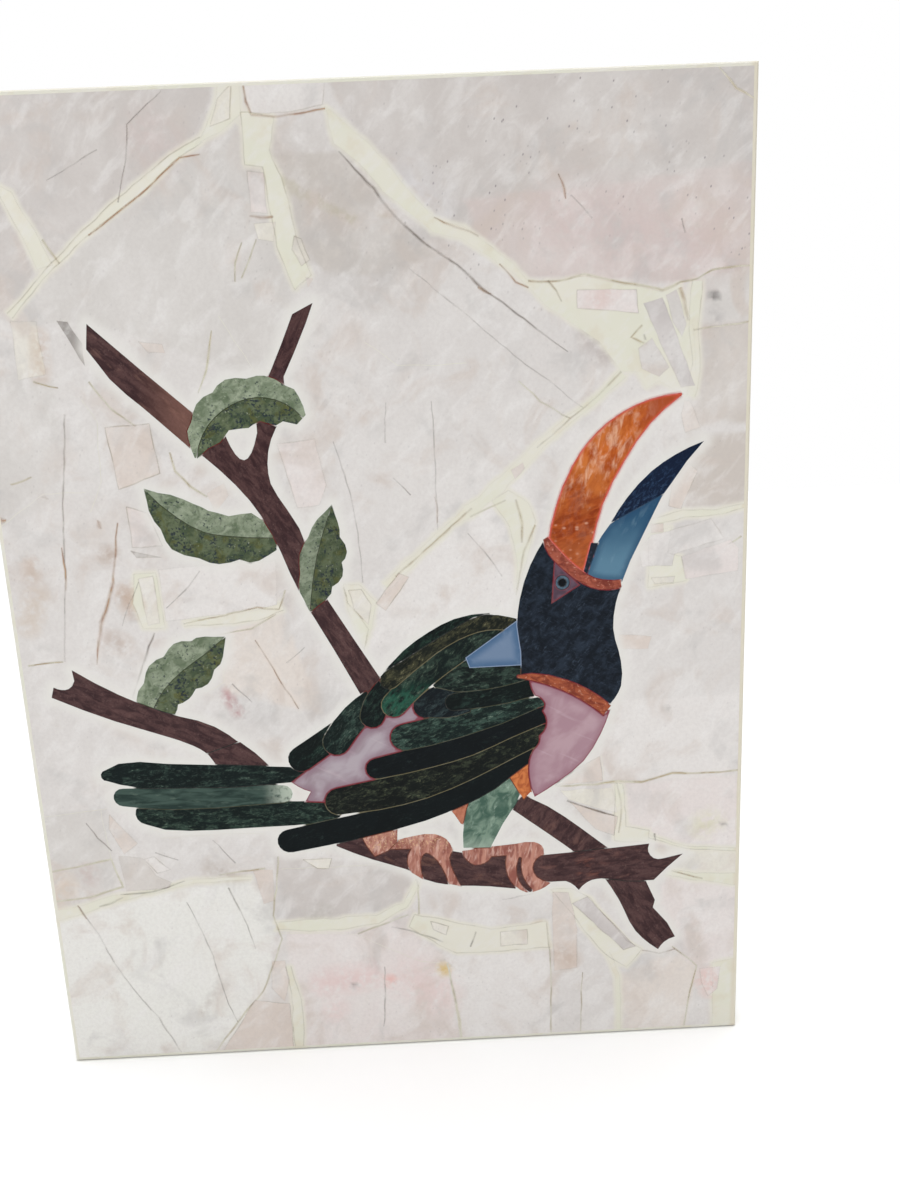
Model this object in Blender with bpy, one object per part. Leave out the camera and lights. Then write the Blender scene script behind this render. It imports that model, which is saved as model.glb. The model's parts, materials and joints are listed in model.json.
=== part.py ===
"""A wall panel of pale quartz and cream resin, with a toucan on branches inlaid in coloured stones."""

import math

import bmesh
import bpy
from mathutils import Vector

# Driving sizes, in metres
PANEL_WIDTH = 0.450
PANEL_HEIGHT = 0.600
PANEL_THICKNESS = 0.018
FRONT_EASE = 0.003  # radius of the eased edge round the front
INLAY_THICKNESS = 0.006  # every inlaid stone, from its polished face to its back
JOINT = 0.0006  # glued gap round and behind an inlaid stone
FLATNESS = 0.0002  # how far a straight cut may stand off a curve of the drawing

# The drawing is laid out on squares, this many across and up, with its origin at the middle.
# It is scaled to fit the panel; a square is one millimetre on the panel as built.
SQUARES_ACROSS = 450
SQUARES_UP = 600
SQUARE = min(PANEL_WIDTH / SQUARES_ACROSS, PANEL_HEIGHT / SQUARES_UP)

EASE_STEPS = 3
LOBE_CUTS = 4  # straight cuts along each lobe of a leaf
NOTCH = 0.16  # depth of the notch between two lobes, as a share of the half leaf there
ARC_STEP = math.radians(36)  # the longest turn of one straight cut on a round end
MITRE_LIMIT = 0.3  # keeps the pocket of a pointed stone from running out in a spike
WELD = 1e-6  # joins the caps of an outline to its wall


def srgb(red, green, blue):
    """A colour as the eye names it, 0 to 255, in the linear values that a material takes."""
    shares = [channel / 255 for channel in (red, green, blue)]
    return tuple(s / 12.92 if s <= 0.04045 else ((s + 0.055) / 1.055) ** 2.4 for s in shares)


PALE_QUARTZ = srgb(222, 216, 210)
JET = srgb(14, 16, 20)
RING_AGATE = srgb(85, 100, 115)
MAUVE_AGATE = srgb(110, 82, 92)
ORANGE_CALCITE = srgb(190, 85, 30)
ROSY_MARBLE = srgb(165, 82, 66)
STEEL_BLUE = srgb(78, 115, 145)
NAVY = srgb(25, 40, 75)
BLUE_BLACK = srgb(28, 35, 48)
HONEY_MARBLE = srgb(175, 85, 50)
PALE_BLUE = srgb(105, 140, 175)
ROSE_AGATE = srgb(172, 142, 156)
BLACK_GREEN = srgb(20, 27, 28)
DEEP_GREEN = srgb(34, 54, 46)
OLIVE_BLACK = srgb(40, 46, 36)
GREY_GREEN = srgb(75, 100, 90)
THIGH_GREEN = srgb(85, 115, 100)
SALMON_ONYX = srgb(190, 130, 115)
BRANCH_JASPER = srgb(66, 46, 48)
LEAF_LIGHT = srgb(150, 165, 140)
LEAF_DARK = srgb(80, 92, 70)

STONE_ROUGHNESS = 0.25


def clear_scene():
    for thing in list(bpy.data.objects):
        bpy.data.objects.remove(thing, do_unlink=True)


def new_collection(name):
    collection = bpy.data.collections.new(name)
    bpy.context.scene.collection.children.link(collection)
    return collection


def stone_material(name, colour):
    material = bpy.data.materials.new(name)
    material.use_nodes = True
    shader = material.node_tree.nodes["Principled BSDF"]
    shader.inputs["Base Color"].default_value = (*colour, 1)
    shader.inputs["Roughness"].default_value = STONE_ROUGHNESS
    shader.inputs["Metallic"].default_value = 0
    return material


# Lines of the drawing. Each function takes and gives points in squares of the drawing.


def smooth(points):
    """A smooth line through a few points, with more straight cuts where it turns."""
    knots = [Vector(p) for p in points]
    if len(knots) < 3:
        return knots
    steps = [b - a for a, b in zip(knots, knots[1:])]
    ways = [step / step.xy.length for step in steps]
    headings = []
    for before, after, way_in, way_out in zip(steps, steps[1:], ways, ways[1:]):
        whole = before.xy.length + after.xy.length
        headings.append(way_in * (after.xy.length / whole) + way_out * (before.xy.length / whole))
    headings.insert(0, 2 * ways[0] - headings[0])
    headings.append(2 * ways[-1] - headings[-1])
    line = [knots[0]]
    for i, step in enumerate(steps):
        length = step.xy.length
        turn = headings[i].xy.angle(step.xy) + step.xy.angle(headings[i + 1].xy)
        cuts = max(1, math.ceil(math.sqrt(length * SQUARE * turn / (8 * FLATNESS))))
        for k in range(1, cuts + 1):
            t = k / cuts
            line.append(
                knots[i] * (1 + 2 * t) * (1 - t) ** 2
                + headings[i] * length * t * (1 - t) ** 2
                + knots[i + 1] * t * t * (3 - 2 * t)
                - headings[i + 1] * length * t * t * (1 - t)
            )
    return line


def apart(outline, gap):
    """A closed outline without the points that lie within a gap, in squares, of the one before."""
    pairs = zip(outline[-1:] + outline[:-1], outline)
    return [point for before, point in pairs if (point - before).length > gap]


def shape(*runs):
    """A closed outline of smooth runs that meet at corners. A run of one point is a bare corner."""
    outline = []
    for run in runs:
        for point in smooth(run):
            outline.append(Vector(point).xy)
    return apart(outline, 0.05)


def arc(centre, radius, start, turn):
    """Points round a centre, from one angle through a turn, both in radians."""
    step = min(ARC_STEP, 2 * math.acos(1 - FLATNESS / (radius * SQUARE)))
    cuts = max(2, math.ceil(abs(turn) / step))
    angles = [start + turn * k / cuts for k in range(cuts + 1)]
    return [Vector(centre) + radius * Vector((math.cos(a), math.sin(a))) for a in angles]


def disc(centre, radius):
    return arc(centre, radius, 0, 2 * math.pi)[:-1]


def strip(*spine, round_start=True, round_end=True):
    """A band along a smooth spine of (across, up, width), with round or square ends."""
    line = smooth(spine)
    left, right = [], []
    for i, point in enumerate(line):
        ahead = (line[min(i + 1, len(line) - 1)] - line[max(i - 1, 0)]).xy.normalized()
        side = Vector((-ahead.y, ahead.x)) * point.z / 2
        left.append(point.xy + side)
        right.append(point.xy - side)
    outline = left
    if round_end:
        out = left[-1] - right[-1]
        outline += arc(line[-1].xy, line[-1].z / 2, math.atan2(out.y, out.x), -math.pi)[1:-1]
    outline += reversed(right)
    if round_start:
        out = right[0] - left[0]
        outline += arc(line[0].xy, line[0].z / 2, math.atan2(out.y, out.x), -math.pi)[1:-1]
    return outline


def leaf_half(midrib, side, breadths, lobes):
    """Half a leaf, from its midrib out to a lobed edge, on the left of the midrib if side is 1."""
    rib = [p.xy for p in smooth([(*p, 0) for p in midrib])]
    reach = [0]
    for a, b in zip(rib, rib[1:]):
        reach.append(reach[-1] + (b - a).length)
    shares = [i / (len(breadths) - 1) for i in range(len(breadths))]
    edge = []
    cuts = lobes * LOBE_CUTS
    for k in range(cuts + 1):
        share = k / cuts
        along = share * reach[-1]
        i = max(j for j in range(len(rib) - 1) if reach[j] <= along)
        step = rib[i + 1] - rib[i]
        foot = rib[i] + step * (along - reach[i]) / step.length
        j = min(int(share * (len(breadths) - 1)), len(breadths) - 2)
        breadth = breadths[j] + (breadths[j + 1] - breadths[j]) * (share - shares[j]) / shares[1]
        lobe = 1 - NOTCH + NOTCH * abs(math.sin(math.pi * lobes * share))
        edge.append(foot + side * breadth * lobe * Vector((-step.y, step.x)).normalized())
    return apart(rib + edge[::-1], 0.3)


def area(outline):
    """Twice the area, over 0 where the outline runs anticlockwise."""
    return sum(a.cross(b) for a, b in zip(outline, outline[1:] + outline[:1]))


def grown(outline, margin):
    """The outline moved outwards by a margin, as the pocket of a stone is."""
    turn = 1 if area(outline) > 0 else -1
    moved = []
    for before, here, after in zip(outline[-1:] + outline[:-1], outline, outline[1:] + outline[:1]):
        way_in = (here - before).normalized()
        way_out = (after - here).normalized()
        normal_in = Vector((way_in.y, -way_in.x)) * turn
        normal_out = Vector((way_out.y, -way_out.x)) * turn
        lean = max(1 + normal_in.dot(normal_out), MITRE_LIMIT)
        moved.append(here + (normal_in + normal_out) * margin / lean)
    return moved


def prism(name, outline, back, front, collection):
    """A flat outline as a solid, between two heights above the back of the panel."""
    curve = bpy.data.curves.new(name, "CURVE")
    curve.dimensions = "2D"
    curve.fill_mode = "BOTH"
    curve.extrude = (front - back) / 2
    spline = curve.splines.new("POLY")
    spline.points.add(len(outline) - 1)
    for point, place in zip(spline.points, outline):
        point.co = (place.x * SQUARE, place.y * SQUARE, 0, 1)
    spline.use_cyclic_u = True
    flat = bpy.data.objects.new(name + "_outline", curve)
    collection.objects.link(flat)
    flat.location.y = -(back + front) / 2
    flat.rotation_euler.x = math.pi / 2
    graph = bpy.context.evaluated_depsgraph_get()
    mesh = bpy.data.meshes.new_from_object(flat.evaluated_get(graph))
    solid = bpy.data.objects.new(name, mesh)
    solid.matrix_world = flat.matrix_world
    collection.objects.link(solid)
    bpy.data.objects.remove(flat, do_unlink=True)
    shell = bmesh.new()
    shell.from_mesh(mesh)
    bmesh.ops.remove_doubles(shell, verts=shell.verts, dist=WELD)
    bmesh.ops.recalc_face_normals(shell, faces=shell.faces)
    shell.to_mesh(mesh)
    shell.free()
    return solid


def cut(target, cutter):
    boolean = target.modifiers.new("cut by " + cutter.name, "BOOLEAN")
    boolean.operation = "DIFFERENCE"
    boolean.solver = "EXACT"
    boolean.object = cutter


class Inlay:
    """The stones in the order they lie: each is cut to clear every stone laid before it."""

    def __init__(self, slab, stones, cutters):
        self.slab = slab
        self.stones = stones
        self.cutters = cutters
        self.laid = []

    def lay(self, name, colour, outline):
        face = PANEL_THICKNESS
        stone = prism(name, outline, face - INLAY_THICKNESS, face, self.stones)
        stone.data.materials.append(stone_material(name, colour))
        pocket = grown(outline, JOINT / SQUARE)
        floor = face - INLAY_THICKNESS - JOINT
        cutter = prism(name + "_pocket", pocket, floor, face + INLAY_THICKNESS, self.cutters)
        cutter.hide_render = True
        cutter.display_type = "WIRE"
        self.laid.append((stone, pocket, cutter))

    def cut_stones(self):
        for number, (stone, pocket, cutter) in enumerate(self.laid):
            for _, pocket_above, cutter_above in self.laid[:number]:
                if overlap(pocket, pocket_above):
                    cut(stone, cutter_above)
            cut(self.slab, cutter)


def overlap(first, second):
    """Whether the boxes round two outlines meet."""
    return all(
        min(p[i] for p in first) < max(p[i] for p in second)
        and min(p[i] for p in second) < max(p[i] for p in first)
        for i in (0, 1)
    )


def make_slab(collection):
    """The ground: pale quartz fused in cream resin, one cast slab with its front edge eased."""
    block = bmesh.new()
    bmesh.ops.create_cube(block, size=1)
    size = Vector((PANEL_WIDTH, PANEL_THICKNESS, PANEL_HEIGHT))
    bmesh.ops.scale(block, vec=size, verts=block.verts)
    bmesh.ops.translate(block, vec=(0, -PANEL_THICKNESS / 2, 0), verts=block.verts)
    front = [e for e in block.edges if all(v.co.y < -PANEL_THICKNESS / 2 for v in e.verts)]
    bmesh.ops.bevel(
        block, geom=front, offset=FRONT_EASE, segments=EASE_STEPS, profile=0.5, affect="EDGES"
    )
    mesh = bpy.data.meshes.new("ground_slab")
    block.to_mesh(mesh)
    block.free()
    slab = bpy.data.objects.new("ground_slab", mesh)
    slab.data.materials.append(stone_material("ground_slab", PALE_QUARTZ))
    collection.objects.link(slab)
    return slab


def lay_head(inlay):
    eye = (111.3, 14.4)
    inlay.lay("eye_pupil", JET, disc(eye, 2.3))
    inlay.lay("eye_ring", RING_AGATE, disc(eye, 4.2))
    inlay.lay("eye_patch", MAUVE_AGATE, shape([(107, 27)], [(105, 2.5)], [(121.5, 12.5)]))
    band = strip(
        (101.5, 42, 3), (106, 34, 6), (113, 26, 6.2), (121.5, 18.5, 6), (130, 13.4, 5.8),
        (139, 11.5, 5.6), (147.3, 12, 4.5), round_start=False, round_end=False,
    )
    inlay.lay("bill_band", ROSY_MARBLE, band)
    inlay.lay("bill_wedge", JET, shape([(123.8, 18)], [(129.3, 38)], [(133.4, 37.6)], [(126, 18)]))
    bill_outer = [(103, 36), (108.5, 60), (119, 84.5), (134, 103.5), (157, 118), (183, 123.5)]
    bill_inner = [(183, 123), (165, 108), (149, 86), (136, 61), (130, 40), (124.5, 14)]
    inlay.lay("upper_bill", ORANGE_CALCITE, shape(bill_outer, bill_inner))
    blue = shape(
        [(124.5, 16), (131, 34), (141, 49)], [(172.5, 65)],
        [(172.5, 65), (163, 46), (153, 26), (147, 11)],
    )
    inlay.lay("lower_bill_base", STEEL_BLUE, blue)
    navy = shape(
        [(145, 47)], [(141.3, 49.6), (151, 64), (166, 79.5), (180, 88.5), (197, 95.7)],
        [(197, 95.7), (187, 84.5), (178, 72), (173, 65.3)], [(165, 57)],
    )
    inlay.lay("lower_bill_tip", NAVY, navy)
    collar = strip(
        (83, -43.8, 1.6), (91, -44.4, 4.2), (101, -46.8, 5.8), (112, -51, 6.8), (124, -57.5, 7.6),
        (138.2, -68.6, 7.6), round_end=False,
    )
    inlay.lay("neck_collar", HONEY_MARBLE, collar)
    head = shape(
        [(101.5, 42), (92, 26), (85, 5), (83, -11), (85, -28), (84.5, -44)],
        [(84.5, -44), (101, -46.8), (112, -51), (124, -57.5), (138, -68)],
        [(139.5, -65), (147, -53), (147, -37), (142.3, -16), (144, 0), (147.6, 11)],
        [(130, 15)], [(112, 27)],
    )
    inlay.lay("head", BLUE_BLACK, head)


def lay_back(inlay):
    shoulder = shape([(82.3, -9)], [(95, -9)], [(95, -36)], [(53, -36.2)], [(51, -30.3)])
    inlay.lay("shoulder_patch", PALE_BLUE, shoulder)
    feathers = (
        (OLIVE_BLACK, (92, -13.5, 6), (78, -9.6, 8), (64, -8.2, 9.5), (45, -15, 7),
         (30, -23.5, 7), (15, -33.5, 9), (2.5, -42, 11.5)),
        (DEEP_GREEN, (77, -13.5, 9), (66, -15, 12.5), (50, -23, 14), (35, -32.5, 15),
         (20, -43.5, 15.5), (4.5, -58.5, 15.5)),
        (BLACK_GREEN, (66.5, -4.3, 3.5), (46.8, -10.7, 12), (31.5, -18.4, 13), (16, -29, 13),
         (6, -37.5, 11)),
        (BLACK_GREEN, (8, -42, 13), (-4, -53.5, 15.5), (-9.5, -65, 15)),
        (DEEP_GREEN, (-8, -54, 14), (-20, -64.5, 17), (-33, -81, 17)),
        (BLACK_GREEN, (-30, -73, 14), (-43, -82.5, 16), (-56, -91, 16.5)),
    )
    for number, (colour, *spine) in enumerate(feathers, 1):
        inlay.lay(f"back_feather_{number}", colour, strip(*spine, round_start=False))


def lay_breast(inlay):
    breast = shape(
        [(88, -45), (101, -47.5), (112, -51.5), (124, -58), (138, -69)],
        [(140, -68.5), (134, -84), (123, -101.5), (107, -114.5), (91, -124.5)],
        [(91, -124.5), (88, -111), (88.5, -99), (91.3, -92.2)],
        [(91.3, -92.2), (94.8, -88.2), (95.2, -83.5)],
        [(95.2, -83.5), (99.4, -78), (100, -73.5), (97.6, -67)],
        [(97.6, -67), (99.2, -62.5), (96.5, -58.3), (93, -56.8)],
        [(93, -56.8), (91, -52), (90, -45.5)],
    )
    inlay.lay("breast", ROSE_AGATE, breast)


def lay_wing(inlay):
    feathers = (
        (DEEP_GREEN, (92, -40, 9), (80, -41.7, 12), (62, -43, 16), (50, -41, 21.5),
         (41, -43.5, 16.5), (31.5, -46.3, 4)),
        (BLACK_GREEN, (95, -51, 11), (85.5, -52.3, 11.3), (76, -54, 12.5), (60, -56.5, 12),
         (42, -58.5, 10.5)),
        (BLUE_BLACK, (52, -56.5, 17), (35, -57.3, 22), (24, -60.3, 15)),
        (DEEP_GREEN, (103, -59.3, 6), (94.5, -61.2, 6.5), (70, -67.2, 13.5), (45, -73.5, 15.5),
         (25, -77.3, 17.5), (9.7, -80, 17)),
        (BLACK_GREEN, (103, -68, 11), (95, -70.5, 11), (75, -77, 13.5), (50, -87, 14.5),
         (25, -93.2, 15), (-8.8, -100, 13.5)),
        (OLIVE_BLACK, (103, -79.5, 12), (92, -84, 12), (78, -90, 13), (50, -102.5, 15),
         (20, -112, 19), (-10, -117.8, 20), (-34, -121, 18)),
        (BLACK_GREEN, (94, -92.5, 10), (83.5, -97.5, 11), (62, -110.5, 15.5), (42, -120.5, 16),
         (18, -130, 15), (-20, -138, 16.5), (-67.5, -146.5, 16)),
    )
    for number, (colour, *spine) in enumerate(feathers, 1):
        inlay.lay(f"wing_feather_{number}", colour, strip(*spine, round_start=False))


def lay_belly(inlay):
    belly = shape(
        [(-63, -106.5), (-50, -97), (-36, -88)], [(-15, -70)], [(5, -56)], [(25, -56)],
        [(27, -73)], [(18, -85)], [(8, -95)], [(-6, -104)], [(-10, -107.5)], [(-20, -113)],
        [(-30, -118)], [(-42, -121)], [(-55.5, -119.8)],
        [(-51.6, -113.4), (-56, -111.6), (-63, -106.5)],
    )
    inlay.lay("belly", ROSE_AGATE, belly)


def lay_tail(inlay):
    feathers = (
        (DEEP_GREEN, (-48, -102, 8), (-65, -101.2, 10.5), (-100, -100.3, 14.5), (-140, -98, 16),
         (-158, -96.4, 17.5), (-171, -95.3, 14), (-179, -95.8, 7.5)),
        (GREY_GREEN, (-69, -113.8, 11.5), (-85, -113.5, 13), (-140, -113.4, 14.5),
         (-158, -112.2, 13.5), (-170.5, -111, 12)),
        (DEEP_GREEN, (-40, -127.5, 14), (-64, -127.5, 16.5), (-95, -127, 18), (-130, -126.5, 19),
         (-145, -125, 19), (-156.5, -122.8, 15)),
    )
    for number, (colour, *spine) in enumerate(feathers, 1):
        inlay.lay(f"tail_feather_{number}", colour, strip(*spine))


def lay_legs(inlay):
    chest = shape(
        [(74, -107)], [(92, -100)], [(92, -122)], [(88.5, -121), (84, -125.5)], [(80.8, -120)]
    )
    inlay.lay("chest_patch", ORANGE_CALCITE, chest)
    thigh = shape(
        [(50, -118)], [(78, -108)], [(82.5, -120), (79, -128), (70, -142), (61.5, -158)],
        [(61.5, -158), (44, -157.4)], [(44, -157.4), (45, -140), (50.5, -122)],
    )
    inlay.lay("thigh", THIGH_GREEN, thigh)
    leg = shape(
        [(36.5, -126)], [(52, -120)], [(49, -142)],
        [(43, -140.5), (39.5, -134.5), (36.5, -130)],
    )
    inlay.lay("leg_patch", ORANGE_CALCITE, leg)


def lay_perch(inlay):
    perch = shape(
        [(97, -165.2), (125, -163.8), (165, -161)],
        [(165, -161), (164.3, -166.5), (168, -171.5), (174, -172)],
        [(187, -169.3)], [(187, -169.3), (177, -178), (168, -187)],
        [(168, -187), (150, -186.5), (134, -184), (127, -184.8), (118.5, -191.5)],
        [(118.5, -191.5), (110, -184.6), (100, -184.6), (91.5, -180.5), (88.9, -174),
         (91.5, -168), (97, -165.2)],
    )
    inlay.lay("perch_right", BRANCH_JASPER, perch)
    chip = strip((80.5, -167, 1.4), (79.8, -178, 3), (86.5, -190, 2.4))
    inlay.lay("perch_chip", BRANCH_JASPER, chip)
    rear_claw = shape(
        [(-22, -144)], [(2.2, -139)], [(1.4, -150.4)], [(-5, -156.5), (-13.6, -160)], [(-18, -153)]
    )
    inlay.lay("rear_claw", SALMON_ONYX, rear_claw)
    left_foot = shape(
        [(0.5, -150), (12, -147.4), (26, -146.8), (33, -150.5), (37, -158.5)],
        [(37, -158.5), (34.3, -164), (36.5, -174), (41, -184.4)],
        [(33.5, -182.4), (29.5, -170), (24, -162), (19.5, -159.3), (16.5, -162), (15.3, -169),
         (17, -178.4)],
        [(9.5, -173), (7.4, -165), (10.5, -156)], [(-3, -155.5)],
    )
    inlay.lay("left_foot", SALMON_ONYX, left_foot)
    right_foot = shape(
        [(43, -159.6), (61, -157.6), (78, -156.4), (90, -155.8), (94.8, -158.5), (95, -168)],
        [(94, -178)],
        [(100, -185.4), (93, -189.8), (84, -191.3), (76.5, -186), (71.6, -175), (72, -164)],
        [(62, -164.2), (57.5, -168.5), (51, -169.6), (46, -166), (43, -159.6)],
    )
    inlay.lay("right_foot", SALMON_ONYX, right_foot)
    under = (
        shape(
            [(-37, -148)], [(-10, -143)], [(-2, -153.5)], [(12, -153.5)], [(12, -173)],
            [(9, -171.5), (-4, -166.5), (-16, -162), (-38, -151.6)],
        ),
        shape(
            [(13, -158)], [(25, -157)], [(34, -172)], [(37, -183.4)],
            [(37, -183.4), (25, -181), (15.3, -177.3)],
        ),
        shape(
            [(34, -158.6)], [(44, -161)], [(50, -162)], [(76, -161)], [(77, -187)],
            [(77, -188.2), (60, -185.6), (39, -184)], [(35.5, -172)],
        ),
    )
    for number, outline in enumerate(under, 1):
        inlay.lay(f"perch_under_{number}", BRANCH_JASPER, outline)


def lay_branches(inlay):
    diagonal = strip(
        (80, -127.5, 12), (95, -137.5, 15), (115, -153.2, 15.5), (133, -168.5, 15.5),
        round_start=False, round_end=False,
    )
    inlay.lay("diagonal_branch", BRANCH_JASPER, diagonal)
    lower = shape(
        [(134, -181), (145, -200), (156, -223.5), (171, -237.8)],
        [(171, -237.8), (175, -232.6), (182.3, -229)],
        [(177, -218.5), (167.4, -206.8)], [(168.8, -201.5)], [(160, -181)],
    )
    inlay.lay("lower_branch", BRANCH_JASPER, lower)
    limb_end = shape(
        [(-114.3, -84.5)], [(-93.3, -77.8), (-85, -85), (-75.5, -96)], [(-75, -103)],
        [(-107, -103)], [(-108, -95)],
    )
    limb = shape(
        [(-206.5, -43)], [(-204.5, -36.5)],
        [(-204.5, -36.5), (-200, -38.3), (-195.5, -38), (-191.3, -33)], [(-192, -26)],
        [(-192, -26), (-165, -43.3), (-140, -55.5), (-108, -67), (-93, -79), (-81, -95)],
        [(-84, -98)], [(-107, -98)],
        [(-108.5, -95), (-114.5, -84.5), (-123, -78.6), (-140, -71.3), (-170, -60), (-206.5, -43)],
    )
    inlay.lay("left_limb_end", BRANCH_JASPER, limb_end)
    inlay.lay("left_limb", BRANCH_JASPER, limb)
    twig = shape(
        [(-28.3, 183)], [(-40.3, 177.4), (-47.5, 162), (-57, 143)], [(-48, 137)],
        [(-48, 143), (-40, 158), (-32.8, 172.5), (-28.3, 183)],
    )
    inlay.lay("twig", BRANCH_JASPER, twig)
    upper = shape(
        [(-157.3, 176.8)], [(-159.2, 163)],
        [(-159.2, 163), (-153.5, 154.5), (-148, 146), (-130, 128.4), (-103, 102)],
        [(-92, 112)], [(-103, 125.5), (-130, 150.7), (-157.3, 176.8)],
    )
    inlay.lay("upper_limb", BRANCH_JASPER, upper)
    fork = shape(
        [(-101, 102), (-89.5, 91), (-74, 73), (-62, 52), (-53.5, 28), (-45.5, 8.5)], [(-38, 13)],
        [(-46, 30), (-43.8, 48.5), (-52.5, 67), (-60.6, 82), (-61.5, 94), (-50, 121)], [(-66, 121)],
        [(-66, 112), (-75, 96.5), (-85, 112)],
    )
    inlay.lay("fork", BRANCH_JASPER, fork)
    middle = strip(
        (-41.5, 14.5, 12.5), (-24, -18, 14), (-6, -52, 16.5), round_start=False, round_end=False
    )
    inlay.lay("middle_branch", BRANCH_JASPER, middle)


def lay_leaf(inlay, name, midrib, light, light_lobes, dark, dark_lobes):
    """A leaf is a light half and a dark half that meet along the midrib."""
    side = math.copysign(1, light[1])
    light_half = leaf_half(midrib, side, [abs(b) for b in light], light_lobes)
    inlay.lay(name + "_light", LEAF_LIGHT, light_half)
    inlay.lay(name + "_dark", LEAF_DARK, leaf_half(midrib, -side, dark, dark_lobes))


def lay_leaves_above(inlay):
    rib = [(-103, 99), (-94, 118), (-80, 128.5), (-65, 132.3), (-49, 128.5), (-38.5, 119.5)]
    light = (1, 10, 13, 14, 12.5, 11, 2.5)
    lay_leaf(inlay, "leaf_a", rib, light, 5, (1, 11, 13, 16, 16, 14, 6.5), 3)
    rib = [(-43.5, 4), (-40.5, 22), (-37, 37), (-32, 52), (-25.5, 68)]
    light = (0, 7, 9.5, 10, 9, 5.5, 0)
    lay_leaf(inlay, "leaf_c", rib, light, 3, (1, 12, 17, 18.5, 16.5, 8.5, 0), 4)


def lay_leaves_below(inlay):
    rib = [(-60, 50), (-77, 51), (-92, 52.8), (-103, 55.5), (-118, 65), (-135.5, 82.5)]
    light = (-6, -14.5, -14, -13, -14.5, -8.5, 0)
    lay_leaf(inlay, "leaf_b", rib, light, 3, (9, 16, 17, 19.5, 18, 10, 0), 4)
    rib = [(-148, -60), (-137, -41), (-125, -30), (-111, -20.5), (-96.5, -9.5)]
    light = (8, 13, 16, 16.5, 16, 10.5, 0)
    lay_leaf(inlay, "leaf_d", rib, light, 4, (12, 14, 15, 16.5, 16, 11, 1), 4)


clear_scene()
panel = new_collection("toucan_panel")
pockets = new_collection("pockets")
inlaid = Inlay(make_slab(panel), panel, pockets)
lay_head(inlaid)
lay_back(inlaid)
lay_breast(inlaid)
lay_wing(inlaid)
lay_belly(inlaid)
lay_tail(inlaid)
lay_legs(inlaid)
lay_perch(inlaid)
lay_leaves_above(inlaid)
lay_branches(inlaid)
lay_leaves_below(inlaid)
inlaid.cut_stones()
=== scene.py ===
"""The toucan panel as it hangs: quartz ground, inlaid stones, glue and polish, lit in a pale studio."""

import json
import math
import random

import bpy
import numpy as np
from mathutils import Matrix, Vector, noise
from mathutils.bvhtree import BVHTree

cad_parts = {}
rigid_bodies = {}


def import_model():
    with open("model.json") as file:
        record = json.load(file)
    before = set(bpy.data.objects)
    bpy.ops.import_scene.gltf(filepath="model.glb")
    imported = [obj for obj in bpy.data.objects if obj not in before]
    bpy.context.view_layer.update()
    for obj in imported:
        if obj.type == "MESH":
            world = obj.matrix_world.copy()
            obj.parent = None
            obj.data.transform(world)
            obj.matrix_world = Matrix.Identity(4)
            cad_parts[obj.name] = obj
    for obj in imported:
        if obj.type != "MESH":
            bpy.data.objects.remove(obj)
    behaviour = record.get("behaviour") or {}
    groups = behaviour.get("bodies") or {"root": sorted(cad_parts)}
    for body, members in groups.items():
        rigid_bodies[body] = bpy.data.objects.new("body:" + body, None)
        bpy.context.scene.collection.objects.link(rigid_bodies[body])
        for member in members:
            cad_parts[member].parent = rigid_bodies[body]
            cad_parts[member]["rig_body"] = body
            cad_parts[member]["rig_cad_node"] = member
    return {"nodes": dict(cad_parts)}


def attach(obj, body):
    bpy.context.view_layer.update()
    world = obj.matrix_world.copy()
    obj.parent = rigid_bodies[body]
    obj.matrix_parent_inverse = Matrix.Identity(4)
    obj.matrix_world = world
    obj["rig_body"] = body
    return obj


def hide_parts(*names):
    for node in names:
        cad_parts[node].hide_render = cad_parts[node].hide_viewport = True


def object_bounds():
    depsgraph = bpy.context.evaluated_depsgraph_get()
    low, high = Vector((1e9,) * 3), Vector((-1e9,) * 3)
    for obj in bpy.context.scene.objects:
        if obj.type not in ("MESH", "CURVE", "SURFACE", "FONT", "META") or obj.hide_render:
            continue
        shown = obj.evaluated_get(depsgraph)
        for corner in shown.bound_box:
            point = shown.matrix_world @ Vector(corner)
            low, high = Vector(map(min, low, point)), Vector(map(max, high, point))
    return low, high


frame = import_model()
cad_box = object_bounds()

# The slab. Cream polyester resin is cast round the quartz and the figure in one flat tray,
# then ground and polished. It stays 18 mm thick, with a plain back, and its front edge is
# eased by hand. It is a copy of the CAD slab, so that the pockets of the stones are in it.

MM = 0.001
FACE = cad_box[0].y  # the polished front of the panel
FRONTAL = -0.99  # a face whose normal has a lower y than this belongs to the front
RESIN_SINK = 0.14 * MM  # resin wears a little lower than quartz under the polisher
WELD = 0.001 * MM  # points nearer than this are one
NET = 2.7 * MM  # squares into which the front is divided, so that a tone can fade across it
MILK_REACH = 9 * MM  # how far the clear white casting resin runs out round the figure
MILK_WHITE = (220, 218, 213)
CREAM_RESIN = (218, 215, 203)
GREEN_RESIN = (215, 214, 199)
OLD_RESIN = (209, 200, 180)


def only(*pieces):
    """Selects these objects and nothing else."""
    if bpy.context.mode != "OBJECT":
        bpy.ops.object.mode_set(mode="OBJECT")
    bpy.ops.object.select_all(action="DESELECT")
    for piece in pieces:
        piece.select_set(True)
    bpy.context.view_layer.objects.active = pieces[0]


def edit(*pieces):
    """Opens these objects for editing, with all of each selected."""
    only(*pieces)
    bpy.ops.object.mode_set(mode="EDIT")
    bpy.ops.mesh.select_all(action="SELECT")


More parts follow.
